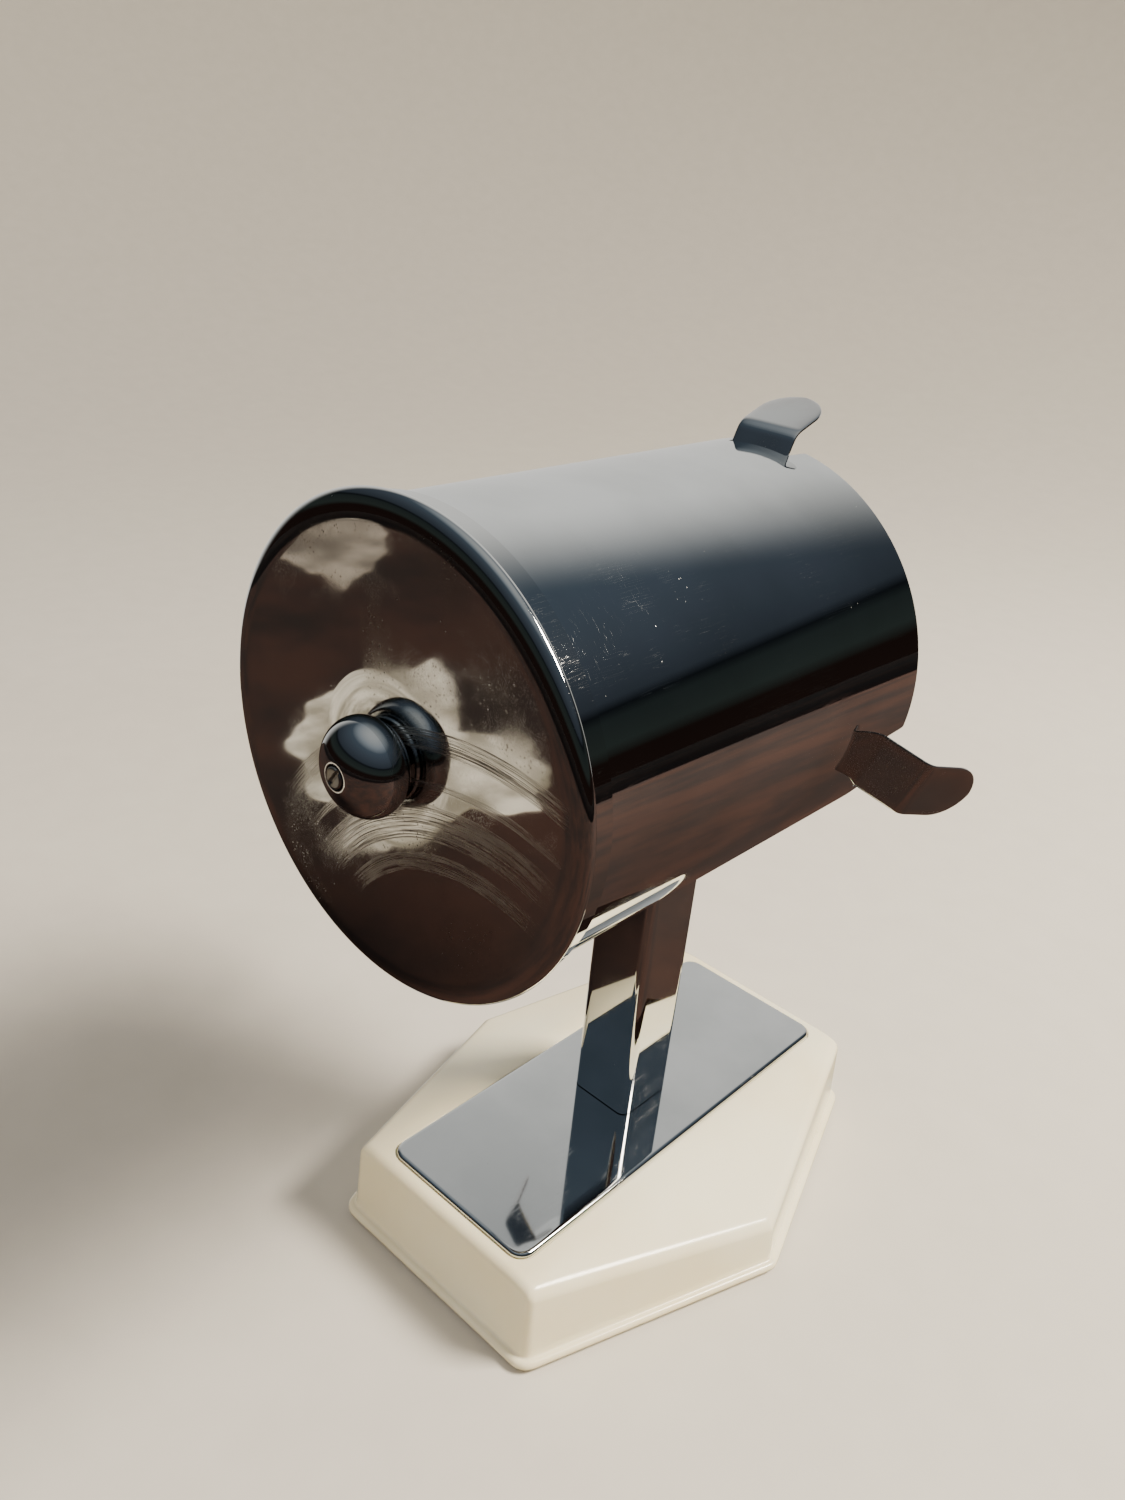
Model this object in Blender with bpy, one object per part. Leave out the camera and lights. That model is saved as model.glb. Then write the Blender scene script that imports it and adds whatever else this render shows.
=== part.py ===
"""Extendable shaving mirror on a square post, with a weighted plastic foot.

The head is a level chromed drum. A sleeve slides out of its open front end and
carries a round mirror that tilts in it. A pressed lid and a screwed ball knob
close the back. Metres, +Z up, origin on the table under the post's centre. The
mirror looks along -Y, the lid and knob are at +Y.
"""

import math

import bmesh
import bpy
from mathutils import Matrix, Vector

# ---------------------------------------------------------------- fits
FIT = 0.0003  # gap between pieces that touch or are fixed together
RUN = 0.0001  # running clearance of a shaft in its bush
FINE = 64  # sides of a large turned piece
COARSE = 24  # sides of a small turned piece
CUT_PAST = 0.0010  # how far a cutter runs past the face it opens
SMALLEST_CORNER = 0.0015

# ---------------------------------------------------------------- foot
FOOT_HALF_LENGTH = 0.0825  # along Y, to the short ends
FOOT_END_HALF_WIDTH = 0.0394  # half the short ends
FOOT_WING_HALF_WIDTH = 0.0678  # out to the two side points
FOOT_TOP = 0.0290  # height of the flat top
FOOT_WING_TOP = 0.0188  # height of the top at the side points
FOOT_CORNER_RADIUS = 0.0060
FLANGE_BOTTOM = 0.0010
FLANGE_HEIGHT = 0.0028
FLANGE_WIDTH = 0.0022  # how far the lip stands out of the wall
WALL_DRAFT = 0.0012  # how far the wall leans in, foot to top
TOP_EDGE_ROUND = 0.0030
SHELL_WALL = 0.0030
SHELL_CEILING = 0.0040

PLATE_END_MARGIN = 0.0084  # from the foot's short ends
PLATE_SIDE_MARGIN = 0.0114  # from the ends' half width
PLATE_THICKNESS = 0.0015
PLATE_CORNER_RADIUS = 0.0050
PLATE_PROUD = 0.0009  # how far the plate stands above the foot's top

BALLAST_END_MARGIN = 0.0265  # from the foot's short ends
BALLAST_SIDE_MARGIN = 0.0134  # from the ends' half width
BALLAST_SHARE = 0.4  # of the height under the shell's ceiling
BALLAST_CORNER_RADIUS = 0.0040

PAD_THICKNESS = 0.0014
PAD_INSET = 0.0075  # from the foot's outline
COVER_THICKNESS = 0.0012
COVER_SCREW_END_MARGIN = 0.0165  # from the foot's short ends
COVER_SCREW_SIDE_MARGIN = 0.0154  # from the ends' half width
BOSS_RADIUS = 0.0038
SCREW_RADIUS = 0.0014
SCREW_LENGTH = 0.0100
SCREW_HEAD_RADIUS = 0.0034
SCREW_HEAD_HEIGHT = 0.0010
SCREW_HEAD_CHAMFER = 0.0004
SCREW_SIDES = 16
PAD_HOLE_CLEARANCE = 0.0010

# ---------------------------------------------------------------- post
POST_HALF_SIDE = 0.0110
POST_WALL = 0.0015
POST_CORNER_RADIUS = 0.0030
BLOCK_LENGTH = 0.0150  # the blocks in the post's two ends
SPIGOT_RADIUS = 0.0070
TIE_ROD_RADIUS = 0.0030
TIE_ROD_PROUD = 0.0016  # below its nut
TIE_NUT_HEIGHT = 0.0050
TIE_NUT_RADIUS = 0.0058
TIE_WASHER_RADIUS = 0.0090
TIE_WASHER_THICKNESS = 0.0015
HEAD_NUT_BARREL_RADIUS = 0.0045
HEAD_NUT_BARREL_LENGTH = 0.0130
HEAD_NUT_FLANGE = 0.0014
HEAD_NUT_HALF_LENGTH = 0.0090
HEAD_NUT_HALF_ANGLE = math.radians(9.0)

# ---------------------------------------------------------------- drum
AXIS_HEIGHT = 0.1827
DRUM_RADIUS = 0.0550
DRUM_WALL = 0.0010
MOUTH = 0.0296  # the drum's front end, ahead of the post's centre
LID_FACE = -0.1034  # the lid's outer face, behind the post's centre
LID_SHEET = 0.0010
LID_BEAD_OUT = 0.0028  # from the drum's radius to the bead
LID_BEAD_SET_BACK = 0.0028  # from the lid's face to the bead's widest line
LID_FLAT_IN = 0.0035  # from the drum's radius to the flat face
LID_SKIRT_LENGTH = 0.0099
DRUM_TO_LID = 0.0054  # from the lid's inside to the drum's back end
REAR_DISC_THICKNESS = 0.0015
REAR_DISC_DEPTH = 0.0025  # from the drum's back end to the disc
REAR_DISC_FLANGE = 0.0010
NOTCH_DEPTH = 0.0088
NOTCH_SIDE_GAP = 0.0006
GUIDE_RING_SET_BACK = 0.0171  # from the mouth to the ring's back
GUIDE_RING_LENGTH = 0.0060

# ---------------------------------------------------------------- knob
KNOB_RADIUS = 0.0115
KNOB_HALF_THICKNESS = 0.0084
KNOB_CENTRE = 0.0055  # from the lid's face
KNOB_TIP_RADIUS = 0.0031
KNOB_WASHER_RADIUS = 0.0092
KNOB_WASHER_THICKNESS = 0.0008
ROD_RADIUS = 0.0040
ROD_TAIL_RADIUS = 0.0025
ROD_TAIL_PROUD = 0.0004
ROD_SET_BACK = 0.0065  # from the tilt axis to the rod's front end
ROD_TAIL_TIP_SHARE = 0.7  # of the tail's radius, at its chamfered end
ROD_NUT_RADIUS = 0.0046
ROD_NUT_LENGTH = 0.0040
STOP_NUT_LENGTH = 0.0040
STOP_WASHER_RADIUS = 0.0062
STOP_WASHER_THICKNESS = 0.0015

# ---------------------------------------------------------------- carriage
SLEEVE_GAP = 0.0025  # between the drum's inside and the sleeve
SLEEVE_WALL = 0.0008
SLEEVE_SET_BACK = 0.0100  # from the drum's mouth to the sleeve's front
SLEEVE_TO_REAR_DISC = 0.0010
SPIDER_THICKNESS = 0.0015
SPIDER_FLANGE_LENGTH = 0.0070
SPIDER_FLANGE = 0.0010
SPIDER_WINDOW_RADIUS_SHARE = 13 / 55  # of the drum's radius
SPIDER_WINDOW_CENTRE_SHARE = 29 / 55  # of the drum's radius
SPIDER_HUB_RADIUS = 0.0090
BUSH_RADIUS = 0.0060
BUSH_COLLAR_RADIUS = 0.0080
BUSH_COLLAR = 0.0011
BUSH_LENGTH = 0.0126

TAB_WIDTH = 0.0182
TAB_FOOT_WIDTH = 0.0100
TAB_THICKNESS = 0.0010
TAB_FOOT_LENGTH = 0.0080
TAB_TURN = 0.0010  # from the sleeve's front edge to the tab's middle layer
TAB_LEG_RISE = 0.0045  # forward run of the flared leg
TAB_TIP_LENGTH = 0.0165
TAB_NECK_SHARE = 0.12  # of the leg, where the strip reaches its full width
TAB_TIP_FLAT_SHARE = 0.08  # of the half width, left flat at the very tip
TAB_BEND_OUT = {"top": 0.0042, "right": 0.0125, "left": 0.0125}  # from the drum's radius
TAB_TIP_OUT = {"top": 0.0103, "right": 0.0208, "left": 0.0208}  # from the drum's radius
TAB_ANGLE = {
    "top": math.radians(90.0),
    "right": math.radians(200.0),
    "left": math.radians(-20.0),
}

# ---------------------------------------------------------------- mirror
TILT_SET_BACK = 0.0111  # from the sleeve's front to the tilt axis
PAN_SIDE_GAP = 0.0023  # between the sleeve's inside and the pan
PAN_DEPTH = 0.0070
PAN_SIDE_WALL = 0.0016
PAN_BACK = 0.0010
PAN_EDGE = 0.0008  # chamfer round the pan's back
BACKING_THICKNESS = 0.0010
GLASS_THICKNESS = 0.0030
BEZEL_WIDTH = 0.0019
BEZEL_THICKNESS = 0.0011
PIVOT_RADIUS = 0.0020
PIVOT_INSET = 0.0013  # how far the pin reaches through the pan's wall
TILT_WASHER_RADIUS = 0.0040
TILT_WASHER_THICKNESS = 0.0012

# ---------------------------------------------------------------- sizes that follow
PLATE_HALF_LENGTH = FOOT_HALF_LENGTH - PLATE_END_MARGIN
PLATE_HALF_WIDTH = FOOT_END_HALF_WIDTH - PLATE_SIDE_MARGIN
BALLAST_HALF_LENGTH = FOOT_HALF_LENGTH - BALLAST_END_MARGIN
BALLAST_HALF_WIDTH = FOOT_END_HALF_WIDTH - BALLAST_SIDE_MARGIN
COVER_SCREW_Y = FOOT_HALF_LENGTH - COVER_SCREW_END_MARGIN
COVER_SCREW_X = FOOT_END_HALF_WIDTH - COVER_SCREW_SIDE_MARGIN
PLATE_TOP = FOOT_TOP + PLATE_PROUD
PLATE_BOTTOM = PLATE_TOP - PLATE_THICKNESS
RECESS_FLOOR = PLATE_BOTTOM - FIT
CEILING = FOOT_TOP - SHELL_CEILING
FLANGE_TOP = FLANGE_BOTTOM + FLANGE_HEIGHT
COVER_BOTTOM = PAD_THICKNESS + FIT
COVER_TOP = COVER_BOTTOM + COVER_THICKNESS
BALLAST_TOP = CEILING - FIT
BALLAST_BOTTOM = BALLAST_TOP - CEILING * BALLAST_SHARE
POST_BOTTOM = PLATE_TOP + FIT
BLOCK_HALF_SIDE = POST_HALF_SIDE - POST_WALL - FIT
DRUM_INSIDE = DRUM_RADIUS - DRUM_WALL
DRUM_UNDERSIDE = AXIS_HEIGHT - DRUM_RADIUS
LID_BEAD_RADIUS = DRUM_RADIUS + LID_BEAD_OUT
LID_FLAT_RADIUS = DRUM_RADIUS - LID_FLAT_IN
DRUM_BACK = LID_FACE + LID_SHEET + DRUM_TO_LID
REAR_DISC_FRONT = DRUM_BACK + REAR_DISC_DEPTH + REAR_DISC_THICKNESS
REAR_DISC_BACK = REAR_DISC_FRONT - REAR_DISC_THICKNESS
KNOB_BACK = LID_FACE - 2 * FIT - KNOB_WASHER_THICKNESS
SLEEVE_RADIUS = DRUM_INSIDE - SLEEVE_GAP
SLEEVE_INSIDE = SLEEVE_RADIUS - SLEEVE_WALL
SLEEVE_BACK = REAR_DISC_FRONT + SLEEVE_TO_REAR_DISC
SLEEVE_FRONT = MOUTH - SLEEVE_SET_BACK
GUIDE_RING_BACK = MOUTH - GUIDE_RING_SET_BACK
TILT_AXIS = SLEEVE_FRONT - TILT_SET_BACK  # ahead of the post's centre
ROD_FRONT = TILT_AXIS - ROD_SET_BACK
STOP_NUT_FRONT = ROD_FRONT - FIT
STOP_WASHER_FRONT = STOP_NUT_FRONT - STOP_NUT_LENGTH - FIT
STOP_WASHER_BACK = STOP_WASHER_FRONT - STOP_WASHER_THICKNESS
BUSH_FRONT = SLEEVE_BACK + BUSH_LENGTH  # the slide ends where this meets the stop washer
PAN_RADIUS = SLEEVE_INSIDE - PAN_SIDE_GAP
PAN_BORE = PAN_RADIUS - PAN_SIDE_WALL
PAN_REAR = TILT_AXIS - PAN_DEPTH / 2
BACKING_REAR = PAN_REAR + PAN_BACK + FIT
GLASS_REAR = BACKING_REAR + BACKING_THICKNESS + FIT
BEZEL_REAR = GLASS_REAR + GLASS_THICKNESS + FIT


# ---------------------------------------------------------------- materials
def material(name, colour, roughness, metallic):
    """A plain Principled surface."""
    made = bpy.data.materials.new(name)
    made.use_nodes = True
    shader = made.node_tree.nodes["Principled BSDF"]
    shader.inputs["Base Color"].default_value = (*colour, 1.0)
    shader.inputs["Roughness"].default_value = roughness
    shader.inputs["Metallic"].default_value = metallic
    return made


# ---------------------------------------------------------------- solids
def add_object(name, mesh, surface, parent=None):
    """Puts a mesh in the scene under its name, smooth where it is round."""
    made = bpy.data.objects.new(name, mesh)
    bpy.context.scene.collection.objects.link(made)
    made.parent = parent
    mesh.materials.append(surface)
    mesh.shade_smooth()
    mesh.set_sharp_from_angle(angle=math.radians(35.0))
    return made


def mesh_from(name, vertices, faces):
    mesh = bpy.data.meshes.new(name)
    mesh.from_pydata(vertices, [], faces)
    mesh.update()
    return mesh


def turned_mesh(name, profile, sides):
    """Turns a closed outline of (radius, height) points round the Z axis.

    The outline runs anticlockwise seen with the radius to the right and the height
    up, so that faces look outwards. A point on the axis becomes a pole.
    """
    vertices = []
    rings = []
    for radius, height in profile:
        if radius == 0.0:
            rings.append([len(vertices)] * sides)
            vertices.append((0.0, 0.0, height))
            continue
        first = len(vertices)
        rings.append([first + side for side in range(sides)])
        for side in range(sides):
            turn = 2 * math.pi * side / sides
            vertices.append((radius * math.cos(turn), radius * math.sin(turn), height))
    faces = []
    count = len(profile)
    for step in range(count):
        low, high = rings[step], rings[(step + 1) % count]
        if low[0] == low[1] and high[0] == high[1]:
            continue
        for side in range(sides):
            other = (side + 1) % sides
            corners = [low[side], low[other], high[other], high[side]]
            faces.append(list(dict.fromkeys(corners)))
    return mesh_from(name, vertices, faces)


def turned(name, profile, surface, parent=None, sides=COARSE):
    return add_object(name, turned_mesh(name, profile, sides), surface, parent)


def ring_profile(inner, outer, low, high):
    """The outline of a plain ring or tube, or of a disc where inner is 0."""
    return [(inner, low), (outer, low), (outer, high), (inner, high)]


def prism_mesh(name, outline, low, high):
    """A flat outline of (x, y) points, anticlockwise, from one height to another."""
    count = len(outline)
    vertices = [(x, y, low) for x, y in outline] + [(x, y, high) for x, y in outline]
    sides = [[i, (i + 1) % count, count + (i + 1) % count, count + i] for i in range(count)]
    return mesh_from(name, vertices, [list(range(count))[::-1], list(range(count, 2 * count))] + sides)


def prism(name, outline, low, high, surface, parent=None):
    return add_object(name, prism_mesh(name, outline, low, high), surface, parent)


def join_copies(mesh, places):
    """One mesh that holds a copy of the given one at each place."""
    grown = bmesh.new()
    for place in places:
        copy = mesh.copy()
        copy.transform(place)
        grown.from_mesh(copy)
        bpy.data.meshes.remove(copy)
    joined = bpy.data.meshes.new(mesh.name)
    grown.to_mesh(joined)
    grown.free()
    bpy.data.meshes.remove(mesh)
    return joined


def shape_with(target, operation, mesh, parent=None):
    """Cuts a mesh out of an object, or joins it to it, with a hidden tool."""
    tool = bpy.data.objects.new(f"{target.name}_{operation.lower()}_{len(target.modifiers)}", mesh)
    bpy.context.scene.collection.objects.link(tool)
    tool.parent = parent if parent else target.parent
    tool.hide_render = True
    tool.display_type = "WIRE"
    change = target.modifiers.new(operation.title(), "BOOLEAN")
    change.operation = operation
    change.solver = "EXACT"
    change.object = tool
    return tool


def rounded_outline(corners, radius, steps=5):
    """A polygon, anticlockwise, with an arc of the given radius at each corner."""
    points = []
    count = len(corners)
    for index in range(count):
        here = Vector(corners[index])
        back = (Vector(corners[index - 1]) - here).normalized()
        ahead = (Vector(corners[(index + 1) % count]) - here).normalized()
        half = back.angle(ahead) / 2
        centre = here + (back + ahead).normalized() * radius / math.sin(half)
        start = here + back * radius / math.tan(half) - centre
        sweep = math.pi - 2 * half
        for step in range(steps + 1):
            turn = Matrix.Rotation(sweep * step / steps, 2)
            points.append(tuple(centre + turn @ start))
    return points


def rectangle(half_x, half_y):
    return [(-half_x, -half_y), (half_x, -half_y), (half_x, half_y), (-half_x, half_y)]


# ---------------------------------------------------------------- foot
def foot_outline(inset):
    """The foot's six-sided outline, moved in by the given distance."""
    length, end, wing = FOOT_HALF_LENGTH, FOOT_END_HALF_WIDTH, FOOT_WING_HALF_WIDTH
    slant = math.hypot(length, wing - end)
    half_length = length - inset
    half_wing = wing - inset * slant / length
    half_end = half_wing - (wing - end) * half_length / length
    corners = [
        (-half_end, -half_length),
        (half_end, -half_length),
        (half_wing, 0.0),
        (half_end, half_length),
        (-half_end, half_length),
        (-half_wing, 0.0),
    ]
    return rounded_outline(corners, max(FOOT_CORNER_RADIUS - inset, SMALLEST_CORNER))


def foot_top_at(x, inset):
    """Height of the foot's top: flat in the middle, falling to the two side points."""
    wing = FOOT_WING_HALF_WIDTH - inset
    flat = FOOT_END_HALF_WIDTH - inset
    fall = max(abs(x) - flat, 0.0) / (wing - flat)
    return FOOT_TOP - (FOOT_TOP - FOOT_WING_TOP) * fall


def hull_mesh(name, points):
    """The closed convex solid round a set of points."""
    grown = bmesh.new()
    for point in points:
        grown.verts.new(point)
    made = bmesh.ops.convex_hull(grown, input=grown.verts)
    loose = [item for item in made["geom_interior"] if isinstance(item, bmesh.types.BMVert)]
    bmesh.ops.delete(grown, geom=loose, context="VERTS")
    bmesh.ops.recalc_face_normals(grown, faces=grown.faces)
    mesh = bpy.data.meshes.new(name)
    grown.to_mesh(mesh)
    grown.free()
    return mesh


def foot_body_points():
    """The walls and the roof, with the top edge rounded in three steps."""
    points = [(x, y, FLANGE_TOP - FLANGE_HEIGHT / 2) for x, y in foot_outline(FLANGE_WIDTH)]
    lean = FLANGE_WIDTH + WALL_DRAFT
    for turn in (0.0, 30.0, 60.0, 90.0):
        angle = math.radians(turn)
        inset = lean + TOP_EDGE_ROUND * (1 - math.cos(angle))
        drop = TOP_EDGE_ROUND * (1 - math.sin(angle))
        for x, y in foot_outline(inset):
            points.append((x, y, foot_top_at(x, inset) - drop))
    return points


def foot_hollow_points():
    inset = FLANGE_WIDTH + SHELL_WALL
    below = [(x, y, FLANGE_BOTTOM - CUT_PAST) for x, y in foot_outline(inset)]
    drop = SHELL_CEILING
    above = foot_outline(inset + WALL_DRAFT)
    return below + [(x, y, foot_top_at(x, inset + WALL_DRAFT) - drop) for x, y in above]


def cover_screw_places():
    return [
        Matrix.Translation((sx * COVER_SCREW_X, sy * COVER_SCREW_Y, 0.0))
        for sx in (-1, 1)
        for sy in (-1, 1)
    ]


def make_foot(plastic, chrome, iron, paint, felt, steel):
    flange = prism_mesh("foot_shell", foot_outline(0.0), FLANGE_BOTTOM, FLANGE_TOP)
    shell = add_object("foot_shell", flange, plastic)
    shape_with(shell, "UNION", hull_mesh("body", foot_body_points()))
    shape_with(shell, "DIFFERENCE", hull_mesh("hollow", foot_hollow_points()))
    recess = rounded_outline(
        rectangle(PLATE_HALF_WIDTH + FIT, PLATE_HALF_LENGTH + FIT), PLATE_CORNER_RADIUS + FIT
    )
    shape_with(shell, "DIFFERENCE", prism_mesh("recess", recess, RECESS_FLOOR, PLATE_TOP))
    hole = ring_profile(0.0, SPIGOT_RADIUS + FIT, 0.0, FOOT_TOP)
    shape_with(shell, "DIFFERENCE", turned_mesh("spigot_hole", hole, COARSE))
    boss = ring_profile(SCREW_RADIUS + FIT, BOSS_RADIUS, COVER_TOP + FIT, CEILING + CUT_PAST)
    bosses = join_copies(turned_mesh("bosses", boss, COARSE), cover_screw_places())
    shape_with(shell, "UNION", bosses)

    plate_outline = rounded_outline(
        rectangle(PLATE_HALF_WIDTH, PLATE_HALF_LENGTH), PLATE_CORNER_RADIUS
    )
    plate = prism("top_plate", plate_outline, PLATE_BOTTOM, PLATE_TOP, chrome)
    hole = ring_profile(0.0, SPIGOT_RADIUS + FIT, 0.0, AXIS_HEIGHT)
    shape_with(plate, "DIFFERENCE", turned_mesh("plate_hole", hole, COARSE))

    ballast_outline = rounded_outline(
        rectangle(BALLAST_HALF_WIDTH, BALLAST_HALF_LENGTH), BALLAST_CORNER_RADIUS
    )
    ballast = prism("ballast_plate", ballast_outline, BALLAST_BOTTOM, BALLAST_TOP, iron)
    hole = ring_profile(0.0, TIE_ROD_RADIUS + FIT, 0.0, AXIS_HEIGHT)
    shape_with(ballast, "DIFFERENCE", turned_mesh("ballast_hole", hole, COARSE))

    cover = prism(
        "bottom_cover",
        foot_outline(FLANGE_WIDTH + SHELL_WALL + FIT),
        COVER_BOTTOM,
        COVER_TOP,
        paint,
    )
    hole = ring_profile(0.0, SCREW_RADIUS + FIT, 0.0, CEILING)
    holes = join_copies(turned_mesh("holes", hole, COARSE), cover_screw_places())
    shape_with(cover, "DIFFERENCE", holes)
    pad = prism("felt_pad", foot_outline(PAD_INSET), 0.0, PAD_THICKNESS, felt)
    hole = ring_profile(0.0, SCREW_HEAD_RADIUS + PAD_HOLE_CLEARANCE, -CUT_PAST, COVER_TOP)
    holes = join_copies(turned_mesh("pad_holes", hole, COARSE), cover_screw_places())
    shape_with(pad, "DIFFERENCE", holes)

    head_top = COVER_BOTTOM - FIT
    head_bottom = head_top - SCREW_HEAD_HEIGHT
    screw = [
        (0.0, head_bottom),
        (SCREW_HEAD_RADIUS - SCREW_HEAD_CHAMFER, head_bottom),
        (SCREW_HEAD_RADIUS, head_bottom + SCREW_HEAD_CHAMFER),
        (SCREW_HEAD_RADIUS, head_top),
        (SCREW_RADIUS, head_top),
        (SCREW_RADIUS, head_top + SCREW_LENGTH),
        (0.0, head_top + SCREW_LENGTH),
    ]
    for number, place in enumerate(cover_screw_places(), 1):
        made = turned(f"cover_screw_{number}", screw, steel, sides=SCREW_SIDES)
        made.location = place.translation


# ---------------------------------------------------------------- post
def drum_cutter(radius):
    """A bar along the drum's axis, for shaping what carries the drum."""
    return turned_mesh("drum_bar", ring_profile(0.0, radius, -DRUM_RADIUS, DRUM_RADIUS), FINE)


def make_post(head, chrome, steel, brass):
    outer = rounded_outline(rectangle(POST_HALF_SIDE, POST_HALF_SIDE), POST_CORNER_RADIUS)
    inner_half = POST_HALF_SIDE - POST_WALL
    inner = rounded_outline(
        rectangle(inner_half, inner_half), POST_CORNER_RADIUS - POST_WALL
    )
    inside_drum = DRUM_UNDERSIDE + POST_HALF_SIDE / 2
    post = prism("post", outer, POST_BOTTOM, inside_drum, chrome)
    bore = prism_mesh("post_bore", inner, POST_BOTTOM - CUT_PAST, inside_drum + CUT_PAST)
    shape_with(post, "DIFFERENCE", bore)
    shape_with(post, "DIFFERENCE", drum_cutter(DRUM_RADIUS + FIT), head)

    half = BLOCK_HALF_SIDE
    block = rounded_outline(rectangle(half, half), max(POST_CORNER_RADIUS - POST_WALL - FIT, 0.0005))
    foot_block = prism("post_foot_block", block, POST_BOTTOM, POST_BOTTOM + BLOCK_LENGTH, steel)
    spigot = ring_profile(0.0, SPIGOT_RADIUS, BALLAST_TOP + FIT, POST_BOTTOM + CUT_PAST)
    shape_with(foot_block, "UNION", turned_mesh("spigot", spigot, COARSE))
    bore = ring_profile(0.0, TIE_ROD_RADIUS + FIT, 0.0, AXIS_HEIGHT)
    shape_with(foot_block, "DIFFERENCE", turned_mesh("rod_hole", bore, COARSE))

    saddle_bottom = DRUM_UNDERSIDE - BLOCK_LENGTH
    saddle = prism("post_saddle_block", block, saddle_bottom, inside_drum, steel)
    barrel_bore = ring_profile(0.0, HEAD_NUT_BARREL_RADIUS + FIT, 0.0, AXIS_HEIGHT)
    shape_with(saddle, "DIFFERENCE", turned_mesh("barrel_hole", barrel_bore, COARSE))
    shape_with(saddle, "DIFFERENCE", drum_cutter(DRUM_RADIUS + FIT), head)

    nut_top = DRUM_UNDERSIDE + DRUM_WALL
    rod_top = nut_top - FIT
    washer_top = BALLAST_BOTTOM - FIT
    nut_start = washer_top - TIE_WASHER_THICKNESS - FIT
    rod_bottom = nut_start - TIE_NUT_HEIGHT - TIE_ROD_PROUD
    turned("tie_rod", ring_profile(0.0, TIE_ROD_RADIUS, rod_bottom, rod_top), steel)
    hole = TIE_ROD_RADIUS + FIT
    turned(
        "tie_washer",
        ring_profile(hole, TIE_WASHER_RADIUS, washer_top - TIE_WASHER_THICKNESS, washer_top),
        steel,
    )
    nut = hexagon_nut("tie_nut", hole, TIE_NUT_RADIUS, nut_start - TIE_NUT_HEIGHT, nut_start, steel)
    nut.rotation_euler.z = math.radians(30.0)
    make_head_nut(head, brass, nut_top, rod_top)


def hexagon_nut(name, hole, corner_radius, low, high, surface, parent=None):
    """A six-sided nut round the local Z axis."""
    corners = [
        (corner_radius * math.cos(math.radians(60 * side)), corner_radius * math.sin(math.radians(60 * side)))
        for side in range(6)
    ]
    nut = prism(name, corners, low, high, surface, parent)
    bore = ring_profile(0.0, hole, low - CUT_PAST, high + CUT_PAST)
    shape_with(nut, "DIFFERENCE", turned_mesh("nut_bore", bore, COARSE))
    return nut


def make_head_nut(head, brass, nut_top, rod_top):
    """The curved nut in the drum, whose barrel goes down into the post."""
    outer = DRUM_INSIDE - FIT
    inner = outer - HEAD_NUT_FLANGE
    steps = 8
    angles = [HEAD_NUT_HALF_ANGLE * (2 * step / steps - 1) - math.pi / 2 for step in range(steps + 1)]
    outline = [(outer * math.cos(a), outer * math.sin(a)) for a in angles]
    outline += [(inner * math.cos(a), inner * math.sin(a)) for a in reversed(angles)]
    mesh = prism_mesh("head_nut", outline, -HEAD_NUT_HALF_LENGTH, HEAD_NUT_HALF_LENGTH)
    nut = add_object("head_nut", mesh, brass, head)
    bottom = DRUM_UNDERSIDE - HEAD_NUT_BARREL_LENGTH
    barrel_top = nut_top + HEAD_NUT_FLANGE / 2
    barrel = ring_profile(0.0, HEAD_NUT_BARREL_RADIUS, bottom, barrel_top)
    upright = shape_with(nut, "UNION", turned_mesh("barrel", barrel, COARSE))
    upright.parent = None
    bore = ring_profile(0.0, TIE_ROD_RADIUS + FIT, bottom - CUT_PAST, rod_top + FIT)
    upright = shape_with(nut, "DIFFERENCE", turned_mesh("barrel_bore", bore, COARSE))
    upright.parent = None


# ---------------------------------------------------------------- drum
def make_drum(head, chrome, steel, felt):
    drum = turned(
        "drum", ring_profile(DRUM_INSIDE, DRUM_RADIUS, DRUM_BACK, MOUTH), chrome, head, FINE
    )
    half = TAB_WIDTH / 2 + NOTCH_SIDE_GAP
    for angle in TAB_ANGLE.values():
        notch = prism_mesh("notch", rectangle(half, SLEEVE_GAP + DRUM_WALL), 0.0, NOTCH_DEPTH + CUT_PAST)
        notch.transform(
            Matrix.Rotation(angle - math.pi / 2, 4, "Z")
            @ Matrix.Translation((0.0, DRUM_RADIUS, MOUTH - NOTCH_DEPTH))
        )
        shape_with(drum, "DIFFERENCE", notch)
    hole = ring_profile(
        0.0, HEAD_NUT_BARREL_RADIUS + FIT, DRUM_UNDERSIDE - CUT_PAST, DRUM_UNDERSIDE + 3 * DRUM_WALL
    )
    upright = shape_with(drum, "DIFFERENCE", turned_mesh("barrel_hole", hole, COARSE))
    upright.parent = None

    tail_hole = ROD_TAIL_RADIUS + FIT
    disc_edge = DRUM_INSIDE - FIT
    disc = [
        (tail_hole, REAR_DISC_BACK),
        (disc_edge - REAR_DISC_FLANGE, REAR_DISC_BACK),
        (disc_edge - REAR_DISC_FLANGE, DRUM_BACK),
        (disc_edge, DRUM_BACK),
        (disc_edge, REAR_DISC_FRONT),
        (tail_hole, REAR_DISC_FRONT),
    ]
    turned("rear_disc", disc, steel, head, FINE)
    ring = ring_profile(
        SLEEVE_RADIUS + FIT, DRUM_INSIDE - FIT, GUIDE_RING_BACK, GUIDE_RING_BACK + GUIDE_RING_LENGTH
    )
    turned("guide_ring", ring, felt, head, FINE)


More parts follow.
